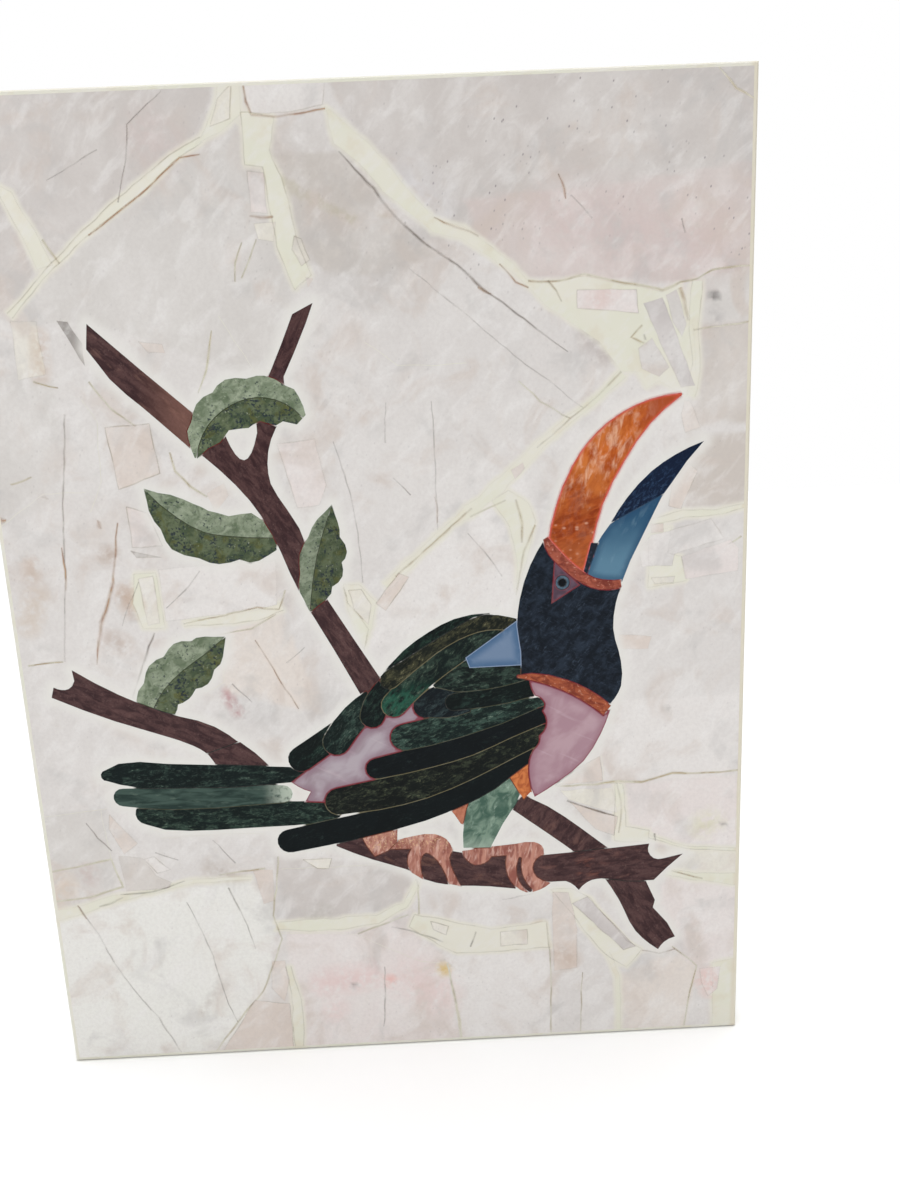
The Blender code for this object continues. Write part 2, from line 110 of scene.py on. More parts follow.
def copied(node, name):
    """A welded copy of a CAD node as a new object."""
    only(frame["nodes"][node])
    bpy.ops.object.duplicate()
    piece = bpy.context.selected_objects[0]
    piece.name = piece.data.name = name
    piece.parent = None
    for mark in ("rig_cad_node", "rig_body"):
        del piece[mark]
    edit(piece)
    bpy.ops.mesh.remove_doubles(threshold=WELD)
    bpy.ops.mesh.dissolve_limited(angle_limit=math.radians(0.5))
    bpy.ops.object.mode_set(mode="OBJECT")
    return piece


def pick_front(piece, depth):
    """In edit mode, selects the faces that lie flat at this depth."""
    edit(piece)
    bpy.ops.mesh.select_mode(type="FACE")
    bpy.ops.mesh.select_all(action="DESELECT")
    bpy.ops.object.mode_set(mode="OBJECT")
    for face in piece.data.polygons:
        face.select = face.normal.y < FRONTAL and abs(face.center.y - depth) < WELD
    bpy.ops.object.mode_set(mode="EDIT")


def set_back(piece, depth, sink):
    """Moves the flat front of a piece back by a little."""
    pick_front(piece, depth)
    bpy.ops.transform.translate(value=(0, sink, 0))
    bpy.ops.object.mode_set(mode="OBJECT")
    return depth + sink


def points_of(piece):
    return np.array([v.co[:] for v in piece.data.vertices])


def net_front(piece, depth, spacing=NET):
    """Divides the flat front of a piece into squares."""
    low, high = points_of(piece).min(0) / spacing, points_of(piece).max(0) / spacing
    pick_front(piece, depth)
    bpy.ops.mesh.hide(unselected=True)
    for axis, normal in ((0, Vector((1, 0, 0))), (2, Vector((0, 0, 1)))):
        for k in range(math.ceil(low[axis]), math.floor(high[axis]) + 1):
            bpy.ops.mesh.select_all(action="SELECT")
            place = normal * ((k + 0.5) * spacing)
            bpy.ops.mesh.bisect(plane_co=place, plane_no=normal, threshold=WELD)
    bpy.ops.mesh.reveal(select=False)
    bpy.ops.object.mode_set(mode="OBJECT")


def keep(piece, name, values, kind="FLOAT"):
    """Stores a number at each point of a piece, or a colour where the kind is FLOAT_COLOR."""
    mark = piece.data.attributes.new(name, kind, "POINT")
    mark.data.foreach_set("value" if kind == "FLOAT" else "color", values)


points, faces, stone_of_face = [], [], []
for name, node in sorted(frame["nodes"].items()):
    if name != "ground_slab":
        faces += [[len(points) + i for i in face.vertices] for face in node.data.polygons]
        stone_of_face += [name] * len(node.data.polygons)
        points += [v.co.copy() for v in node.data.vertices]
figure = BVHTree.FromPolygons(points, faces)


def mark_milk(piece):
    """Stores how milky the ground is at each point, from its distance to the figure."""
    gaps = [figure.find_nearest(v.co)[3] for v in piece.data.vertices]
    keep(piece, "milk", [max(0, 1 - gap / MILK_REACH) for gap in gaps])


def srgb(colour):
    """A colour as the eye names it, 0 to 255, in the linear values that a shader takes."""
    shares = [channel / 255 for channel in colour]
    linear = [s / 12.92 if s <= 0.04045 else ((s + 0.055) / 1.055) ** 2.4 for s in shares]
    return (*linear, 1)


class Value:
    """What a node gives. Arithmetic with values adds Math nodes to their material."""

    def __init__(self, finish, link):
        self.finish = finish
        self.link = link

    def math(self, operation, first, second):
        return self.finish.add("Math", {"Value": first, "Value_001": second}, operation=operation)

    def __add__(self, other):
        return self.math("ADD", self, other)

    def __radd__(self, other):
        return self.math("ADD", other, self)

    def __sub__(self, other):
        return self.math("SUBTRACT", self, other)

    def __rsub__(self, other):
        return self.math("SUBTRACT", other, self)

    def __mul__(self, other):
        return self.math("MULTIPLY", self, other)

    def __rmul__(self, other):
        return self.math("MULTIPLY", other, self)

    def __truediv__(self, other):
        return self.math("DIVIDE", self, other)

    def __pow__(self, other):
        return self.math("POWER", self, other)

    def between(self, low, high):
        """0 up to low, 1 from high on, and a smooth step between. low may be the greater."""
        sockets = {"Value": self, "From Min": low, "From Max": high}
        return self.finish.add("MapRange", sockets, interpolation_type="SMOOTHSTEP")


class Finish:
    """A polished stone or resin: its colours are laid one over the other and end in its shader."""

    def __init__(self, name, colour):
        self.material = bpy.data.materials.new(name)
        self.material.use_nodes = True
        self.tree = self.material.node_tree
        self.shader = self.tree.nodes["Principled BSDF"]
        self.where = None
        self.colour = self.mark(colour, 0) if isinstance(colour, str) else colour

    def add(self, kind, sockets, output=0, **settings):
        node = self.tree.nodes.new("ShaderNode" + kind)
        for name, value in settings.items():
            setattr(node, name, value)
        for socket in node.inputs:
            value = sockets.get(socket.identifier)
            if isinstance(value, Value):
                self.tree.links.new(value.link, socket)
            elif value is not None:
                socket.default_value = value
        return Value(self, node.outputs[output])

    def mark(self, name, output=2):
        """What is stored in the mesh. Output 0 gives a colour, 2 a number, 3 a colour's alpha."""
        return self.add("Attribute", {}, output, attribute_name=name)

    def place(self, size, angle=0, shift=(0, 0)):
        """Places on the panel, counted in lengths along and across an angle, in millimetres."""
        if self.where is None:
            self.where = self.add("TexCoord", {}, output=3)
        along, across = size if isinstance(size, tuple) else (size, size)
        sockets = {
            "Vector": self.where,
            "Location": (shift[0] * MM, 0, shift[1] * MM),
            "Rotation": (0, -math.radians(angle), 0),
            "Scale": (along * MM, across * MM, across * MM),
        }
        return self.add("Mapping", sockets, vector_type="TEXTURE")

    def across(self):
        """How far to the right of the panel's middle a place lies, in millimetres."""
        return self.add("SeparateXYZ", {"Vector": self.place(1)}, output=0)

    def up(self):
        """How far above the panel's middle a place lies, in millimetres."""
        return self.add("SeparateXYZ", {"Vector": self.place(1)}, output=2)

    def cloud(self, size, angle=0, shift=(0, 0), detail=3, rough=0.55, wander=0):
        """Soft noise about 0.5, with features of this size."""
        sockets = {"Vector": self.place(size, angle, shift), "Scale": 1, "Detail": detail,
                   "Roughness": rough, "Distortion": wander}
        return self.add("TexNoise", sockets)

    def dots(self, size, share, angle=0, shift=(0, 0), core=0.1, rim=0.35):
        """Scattered dots, in this share of the squares of a wandering net."""
        sockets = {"Vector": self.place(size, angle, shift), "Scale": 1}
        far = self.add("TexVoronoi", sockets)
        chance = self.add("SeparateColor", {"Color": self.add("TexVoronoi", sockets, output=1)})
        return far.between(rim, core) * chance.between(share + 0.02, share)

    def mix(self, amount, first, second):
        """Two colours mixed by this amount, each of them three numbers or a value."""
        first, second = [c if isinstance(c, Value) else srgb(c) for c in (first, second)]
        sockets = {"Factor_Float": amount, "A_Color": first, "B_Color": second}
        return self.add("Mix", sockets, output=2, data_type="RGBA")

    def tint(self, amount, colour):
        """Lays a further colour over the stone by this amount."""
        self.colour = self.mix(amount, self.colour, colour)

    def lay(self, colour, share, low, high, *size, **noise):
        """Lays a colour over the stone, up to this share, where a cloud rises from low to high."""
        cloud = self.cloud(*size, **noise).between(low, high)
        self.tint(cloud if share == 1 else cloud * share, colour)

    def fade(self, amount):
        """Shows the finish only by this amount."""
        self.tree.links.new(amount.link, self.shader.inputs["Alpha"])

    def polish(self, roughness=0.3):
        """Ends the finish with its colour and its gloss."""
        self.tree.links.new(self.colour.link, self.shader.inputs["Base Color"])
        self.shader.inputs["Roughness"].default_value = roughness
        self.shader.inputs["Specular IOR Level"].default_value = 0.06
        self.shader.inputs["Coat Weight"].default_value = 0.08
        self.shader.inputs["Coat Roughness"].default_value = 0.12
        self.shader.inputs["Coat IOR"].default_value = 1.3
        return self.material


def milky(finish):
    """White resin closes over the ground next to the figure."""
    milk = finish.mark("milk")
    uneven = finish.cloud(7) * 0.5 - 0.25
    finish.tint((milk + uneven * milk).between(0.05, 0.95) * 0.85, MILK_WHITE)


def dress(piece, finish, roughness=0.3):
    """Gives a piece its finish and no other."""
    piece.data.materials.clear()
    piece.data.materials.append(finish.polish(roughness))


resin = Finish("cream_resin", CREAM_RESIN)
resin.lay(GREEN_RESIN, 1, 0.4, 0.62, 60, 0, (20, 5))
resin.lay(OLD_RESIN, 0.4, 0.52, 0.72, 14, 0, (3, 9))
resin.lay(MILK_WHITE, 0.5, 0.45, 0.7, (9, 4), 40, detail=5)
resin.tint(resin.across().between(219, 222) * 0.6, OLD_RESIN)
milky(resin)

slab = copied("ground_slab", "resin_slab")
plate_blank = copied("ground_slab", "quartz_blank")
glue_cutter = copied("ground_slab", "glue_cutter")
net_front(slab, set_back(slab, FACE, RESIN_SINK))
mark_milk(slab)
dress(slab, resin, roughness=0.28)
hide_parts("ground_slab")
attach(slab, "root")

# The quartz. Slices of rose and milk quartz, 5 mm thick, are broken to fit and laid face
# down in the tray before the resin is poured. Here one plate with the figure's pockets is
# broken along its seams, and each piece keeps the tone of the slice that it came from.

QUARTZ_BACK = FACE + 5 * MM
QUARTZ_MARGIN = 3.2 * MM  # from the panel's edge, so that the easing stays resin
QUARTZ_SINK = 0.07 * MM
WANDER = 0.8  # how far a broken edge strays from straight, in millimetres
WANDER_STEP = 5.0  # from one such turn to the next
SMALL_SINK = 0.05 * MM
SMALL_THICK = 3 * MM
STAIN_THICK = 0.4 * MM
STAIN_STEP = 1e-5  # in mm, between the depths of two stains that may cross
TAN_LINE = 1.3  # how wide the tan line along each edge of a cream seam is, to where it fades out, in mm
CREAM_EDGE = 3.6  # how far resin shows through the thin edge of a slice
HAIR_LINE = 0.3  # how wide a parting of two slices that touch is
TONE_EDGE = 1.8  # over how many millimetres the tone of a slice gives way to the next


def joined(pieces, name):
    """These objects as one, under this name."""
    only(*pieces)
    if len(pieces) > 1:
        bpy.ops.object.join()
    piece = bpy.context.object
    piece.name = piece.data.name = name
    return piece


def trim(piece, place, normal):
    """Cuts a piece off at a plane, on the side that the normal points to, and closes it."""
    edit(piece)
    bpy.ops.mesh.bisect(plane_co=place, plane_no=normal, use_fill=True, clear_outer=True)
    bpy.ops.object.mode_set(mode="OBJECT")


def trim_to_quartz(piece):
    """Cuts off what lies beyond the quartz, at the eased edges of the panel."""
    for normal in ((1, 0, 0), (-1, 0, 0), (0, 0, 1), (0, 0, -1)):
        side = Vector(normal)
        reach = max(side.dot(corner) for corner in cad_box)
        trim(piece, side * (reach - QUARTZ_MARGIN), side)


def wandering(spine):
    """A line of (across, up, width) points, in short steps that stray as a break in stone does."""
    knots = [Vector(knot).to_3d() for knot in spine]
    line = []
    for start, end in zip(knots, knots[1:]):
        steps = max(1, round((end - start).xy.length / WANDER_STEP))
        line += [start.lerp(end, k / steps) for k in range(steps)]
    line.append(knots[-1])
    strays = [noise.noise_vector(Vector((p.x, p.y, 0)) * 0.11) for p in line]
    return [p + Vector((s.x * WANDER, s.y * WANDER, p.z * s.z * 0.35)) for p, s in zip(line, strays)]


def closed(outline):
    """The wandering line round an outline, back to where it began."""
    line = wandering(outline + outline[:1])
    line[-1] = line[0].copy()
    return line


def widened(line, width=None):
    """The same line, as wide as a stain spreads into the stone beside it."""
    return [Vector((p.x, p.y, width or 1.5 * p.z + 0.6)) for p in line]


def sides(line):
    """The two sides of a band along (across, up, width) points."""
    left, right = [], []
    for i, point in enumerate(line):
        ahead = (line[min(i + 1, len(line) - 1)] - line[max(i - 1, 0)]).xy.normalized()
        out = Vector((-ahead.y, ahead.x)) * max(point.z, 0.05) / 2
        left.append(point.xy + out)
        right.append(point.xy - out)
    return left, right


def draw(outline, front=-2 * MM, thick=8 * MM):
    """A flat closed outline as a curve of this thickness."""
    middle = (0, FACE + front + thick / 2, 0)
    bpy.ops.object.add(type="CURVE", location=middle, rotation=(math.pi / 2, 0, 0))
    drawn = bpy.context.object
    drawn.data.dimensions = "2D"
    drawn.data.fill_mode = "BOTH"
    drawn.data.extrude = thick / 2
    spline = drawn.data.splines.new("POLY")
    spline.points.add(len(outline) - 1)
    for point, place in zip(spline.points, outline):
        point.co = (place[0] * MM, place[1] * MM, 0, 1)
    spline.use_cyclic_u = True
    return drawn


def patch(outline, **depth):
    """The whole of an outline, with edges that wander as the line round it does."""
    return draw([p.xy for p in closed(outline)[:-1]], **depth)


def draw_band(line):
    left, right = sides(line)
    return draw(left + right[::-1])


def as_one_mesh(drawn, name):
    """Turns drawn outlines into closed bodies of one mesh."""
    only(*drawn)
    bpy.ops.object.convert(target="MESH")
    bpy.ops.object.transform_apply()
    edit(*drawn)
    bpy.ops.mesh.remove_doubles(threshold=WELD)
    bpy.ops.mesh.normals_make_consistent(inside=False)
    return joined(drawn, name)


def stain(line, sink, strength=1.0):
    """A soft band along (across, up, width) points, which knows how near it is to its middle."""
    bpy.ops.mesh.primitive_grid_add(x_subdivisions=len(line) - 1, y_subdivisions=2, size=1)
    band = bpy.context.object
    left, right = sides(line)
    core = []
    for vertex in band.data.vertices:
        along, across = round((vertex.co.x + 0.5) * (len(line) - 1)), round(vertex.co.y * 2)
        place = {-1: right, 0: line, 1: left}[across][along]
        vertex.co = (place.x * MM, FACE + sink * MM, place.y * MM)
        core.append(strength if across == 0 else 0.0)
    keep(band, "core", core)
    return band


def as_one_stain(bands, name):
    """Joins soft bands into one thin closed body that lies just proud of the quartz."""
    stains = joined(bands, name)
    edit(stains)
    bpy.ops.mesh.extrude_region_move(TRANSFORM_OT_translate={"value": (0, STAIN_THICK, 0)})
    bpy.ops.mesh.select_all(action="SELECT")
    bpy.ops.mesh.normals_make_consistent(inside=False)
    bpy.ops.object.mode_set(mode="OBJECT")
    return stains


def carve(piece, cutter):
    """Cuts one body out of a piece, and removes the cutter."""
    only(piece)
    boolean = piece.modifiers.new("cut", "BOOLEAN")
    boolean.operation = "DIFFERENCE"
    boolean.solver = "EXACT"
    boolean.use_self = True
    boolean.object = cutter
    bpy.ops.object.convert(target="MESH")
    bpy.data.objects.remove(cutter)


# What follows is read off the panel in millimetres, across and up from its middle. A seam or a
# line is a run of (across, up, width); a pool or a stone is the corners of its outline.
QUARTZ_TONES = {
    "rose": (197, 191, 187), "dusk": (202, 191, 187), "pale": (205, 201, 197), "fair": (212, 208, 205),
    "white": (220, 216, 213), "grey": (199, 193, 187), "green": (225, 224, 219), "tan": (211, 200, 192),
    "clay": (197, 189, 182), "sand": (217, 209, 202), "pink": (220, 212, 209), "cream": (219, 215, 204),
    "mauve": (194, 188, 186), "slate": (150, 145, 141),
}
BIG_STONES = [  # the tone and the corners of each big slice
    ("rose", [(-230, 305), (-72, 305), (-82, 272), (-121, 246), (-160, 219), (-205, 180), (-230, 200)]),
    ("pale", [(-82, 272), (-60, 283), (-50, 230), (-30, 183), (-60, 140), (-115, 164), (-157, 177),
              (-205, 180), (-183, 199), (-160, 219), (-121, 246)]),
    ("rose", [(-15, 305), (230, 305), (230, 192), (190, 186), (95, 192), (43, 228), (0, 275)]),
    ("dusk", [(60, 235), (150, 240), (230, 250), (230, 192), (190, 186), (95, 192), (70, 208)]),
    ("fair", [(-38, 190), (45, 207), (88, 190), (117, 150), (157, 137), (118, 112), (60, 63), (4, 17),
              (-10, 20), (-24, 60), (-30, 120), (-60, 140)]),
    ("grey", [(-46, 262), (-8, 262), (20, 228), (42, 207), (14, 196), (-20, 199), (-36, 218)]),
    ("fair", [(-8, 266), (20, 232), (117, 152), (160, 140), (95, 188), (43, 226)]),
    ("white", [(4, 17), (60, 63), (88, 87), (96, 52), (80, -8), (20, -15), (-12, -22)]),
    ("pale", [(192, 163), (192, 190), (230, 190), (230, 163)]),
    ("clay", [(190, 163), (230, 163), (230, 104), (203, 108), (186, 100)]),
    ("clay", [(186, 98), (230, 100), (230, 57), (186, 57)]),
    ("fair", [(160, 50), (230, 56), (230, -62), (145, -62), (146, 0)]),
    ("white", [(145, -62), (230, -62), (230, -115), (100, -117), (140, -80)]),
    ("pink", [(144, -118), (230, -116), (230, -166), (150, -160)]),
    ("cream", [(165, -165), (230, -168), (230, -186), (176, -182)]),
    ("pink", [(176, -184), (230, -190), (230, -252), (196, -252), (180, -238), (166, -215)]),
    ("fair", [(98, -252), (144, -250), (144, -305), (98, -305)]),
    ("sand", [(144, -256), (180, -240), (197, -254), (188, -305), (144, -305)]),
    ("white", [(28, -234), (98, -233), (98, -305), (37, -305)]),
    ("pink", [(-75, -210), (6, -205), (28, -236), (36, -305), (-73, -305)]),
    ("green", [(-230, -190), (-180, -180), (-95, -172), (-80, -200), (-92, -254), (-134, -305),
               (-230, -305)]),
    ("pale", [(-230, -120), (-182, -118), (-180, -180), (-230, -192)]),
    ("fair", [(-182, -118), (-79, -142), (-79, -166), (-150, -174), (-182, -150)]),
    ("rose", [(-79, -157), (-5, -166), (13, -178), (4, -200), (-75, -206)]),
    ("pale", [(-230, 60), (-180, 82), (-180, 146), (-230, 160)]),
    ("sand", [(-105, -10), (-60, 5), (-50, -30), (-40, -62), (-100, -45)]),
]
CREAM_SEAMS = [  # where cream resin fills the gap between two slices
    [(-83, 271, 2.5), (-100, 262, 4), (-121, 246, 6), (-140, 234, 4.5), (-160, 219, 3), (-172, 209, 2.5),
     (-183, 199, 2.5), (-200, 183, 4)],
    [(149, 137, 5), (135, 124, 4), (118, 112, 4.5), (100, 98, 5), (88, 87, 6), (75, 75, 8), (60, 63, 7),
     (45, 53, 4.5), (30, 40, 4), (15, 27, 5), (4, 17, 5)],
    [(-225, -191, 7), (-205, -187, 6), (-185, -181, 5), (-165, -178, 3), (-150, -175, 3), (-135, -172, 3),
     (-115, -171, 2), (-95, -171, 2)],
    [(-82, -206, 5), (-60, -207, 8), (-40, -207, 8), (-15, -205, 6), (4, -196, 4), (14, -178, 3)],
    [(137, -239, 3), (144, -256, 3), (144, -302, 3)], [(176, -181, 5), (195, -186, 5), (226, -190, 9)],
    [(165, -156, 2), (190, -165, 1.6), (226, -169, 2)],
    [(192, 186, 6), (190, 160, 5), (192, 140, 5), (189, 122, 5)],
    [(165, 49, 4), (185, 53, 4), (205, 53, 3), (226, 57, 3)],
    [(-120, 0, 3), (-95, 1, 5), (-75, 3, 6), (-60, 8, 5)],
    [(-76, -236, 3), (-72, -262, 6), (-73, -302, 7)],
]
POOLS = [  # where it stands wider
    [(-70, 303), (-73, 290), (-80, 276), (-86, 269), (-72, 274), (-60, 283), (-60, 303)],
    [(-200, 254), (-193, 238), (-186, 222), (-181, 207), (-172, 209), (-178, 224), (-190, 248)],
    [(-60, 284), (-42, 281), (-46, 264), (-41, 250), (-38, 238), (-35, 218), (-28, 198), (-38, 190),
     (-46, 214), (-48, 230), (-50, 256), (-60, 257)],
    [(-14, 285), (-4, 277), (10, 264), (22, 250), (33, 237), (43, 226), (60, 220), (75, 209), (87, 199),
     (95, 190), (112, 189), (127, 191), (145, 187), (160, 184), (172, 181), (182, 185), (190, 160),
     (192, 130), (186, 122), (170, 132), (163, 128), (157, 137), (148, 138), (135, 155), (120, 166),
     (105, 176), (88, 194), (70, 206), (58, 214), (42, 218), (30, 228), (15, 241), (3, 256), (-10, 266)],
    [(96, 52), (92, 64), (80, 72), (70, 66), (80, 50), (84, 30), (83, 12), (90, 28)],
    [(-147, 32), (-134, 32), (-132, -2), (-145, -2), (-150, 14)],
    [(10, -203), (35, -210), (60, -217), (97, -213), (99, -232), (60, -233), (36, -233), (25, -226),
     (6, -212)],
    [(100, -190), (114, -190), (126, -198), (150, -230), (160, -237), (150, -250), (138, -242),
     (128, -230), (112, -206)],
    [(143, -118), (148, -119), (150, -148), (165, -152), (164, -160), (142, -158)],
    [(-22, 20), (-12, 19), (-3, 8), (-6, -8), (-12, -22), (-20, 4)],
    [(164, 42), (178, 46), (176, 30), (184, 27), (188, 12), (164, 9)],
    [(208, -250), (226, -246), (226, -302), (208, -302)],
]
SMALL_STONES = [  # the tone and the corners of each slip set over the joints
    ("cream", [(-64, 298), (-72, 291), (-77, 277), (-66, 281)]),
    ("white", [(-58, 303), (-57, 290), (-54, 283), (-36, 283), (-15, 286), (-13, 303)]),
    ("pink", [(-59, 254), (-50, 253), (-50, 232), (-59, 233)]),
    ("cream", [(-58, 227), (-46, 227), (-48, 217), (-56, 218)]),
    ("cream", [(-36, 219), (-32, 217), (-28, 206), (-33, 203), (-38, 212)]),
    ("tan", [(-31, 197), (-27, 196), (-30, 191)]),
    ("slate", [(-174, 179), (-168, 178), (-161, 166), (-161, 154)]),
    ("cream", [(-200, 180), (-186, 179), (-184, 150), (-200, 148)]),
    ("tan", [(-129, 166), (-116, 164), (-115, 159), (-124, 160)]),
    ("pink", [(123, 184), (157, 183), (158, 170), (140, 172), (123, 174)]),
    ("mauve", [(161, 175), (172, 178), (191, 128), (183, 127)]),
    ("pale", [(174, 179), (180, 182), (186, 163), (183, 156), (178, 164)]),
    ("pale", [(158, 150), (166, 156), (176, 139), (170, 134), (160, 139)]),
    ("tan", [(185, 120), (189, 119), (195, 104), (186, 101), (183, 112)]),
    ("tan", [(178, 72), (188, 83), (193, 78), (188, 66), (184, 56), (176, 58)]),
    ("tan", [(82, 84), (89, 88), (90, 84), (84, 78)]), ("tan", [(-3, 7), (3, 2), (18, 22), (12, 25)]),
    ("cream", [(-19, 16), (-11, 16), (-6, 6), (-8, -6), (-16, 3)]),
    ("pink", [(184, 27), (214, 36), (219, 31), (219, 17), (187, 13)]),
    ("white", [(160, 22), (159, 34), (166, 41), (202, 49), (210, 37), (180, 29), (178, 22)]),
    ("tan", [(165, 48), (173, 48), (173, 43), (166, 42)]),
    ("cream", [(166, 15), (180, 15), (179, 11), (168, 11)]),
    ("tan", [(146, -20), (166, -22), (164, -30), (146, -29)]),
    ("tan", [(-154, 119), (-128, 120), (-125, 91), (-150, 83)]),
    ("pink", [(-147, 72), (-135, 68), (-128, 48), (-146, 48)]),
    ("slate", [(-147, 46), (-144, 42), (-129, 41), (-140, 44)]),
    ("cream", [(-145, 29), (-136, 30), (-135, 1), (-142, 0)]),
    ("white", [(-132, 34), (-62, 36), (-63, 9), (-95, 5), (-131, 2)]),
    ("tan", [(-99, 78), (-88, 84), (-86, 76), (-95, 67)]),
    ("pink", [(-55, 105), (-33, 107), (-28, 80), (-33, 68), (-46, 67)]),
    ("tan", [(-181, -122), (-165, -143), (-174, -150), (-182, -132)]),
    ("white", [(-162, -154), (-156, -153), (-146, -162), (-155, -164)]),
    ("grey", [(-178, -151), (-163, -153), (-156, -166), (-146, -171), (-148, -175), (-176, -176)]),
    ("tan", [(-93, -166), (-80, -166), (-81, -188), (-88, -190)]),
    ("cream", [(-60, -160), (-42, -160), (-44, -167), (-51, -167)]),
    ("tan", [(-100, -260), (-77, -264), (-77, -303), (-129, -303), (-116, -284)]),
    ("tan", [(-86, -232), (-78, -232), (-76, -246), (-80, -262), (-88, -252)]),
    ("tan", [(103, -117), (120, -106), (133, -99), (135, -116)]),
    ("cream", [(108, -121), (141, -121), (144, -138), (127, -133), (113, -127)]),
    ("tan", [(114, -129), (128, -135), (144, -141), (142, -154), (130, -149)]),
    ("cream", [(20, -209), (32, -213), (30, -219), (22, -215)]),
    ("cream", [(66, -219), (84, -218), (84, -229), (66, -229)]),
    ("mauve", [(114, -201), (124, -197), (156, -235), (148, -237)]),
    ("tan", [(101, -192), (112, -193), (117, -220), (116, -248), (101, -250)]),
    ("pink", [(199, -254), (213, -253), (211, -270), (205, -275), (200, -264)]),
]
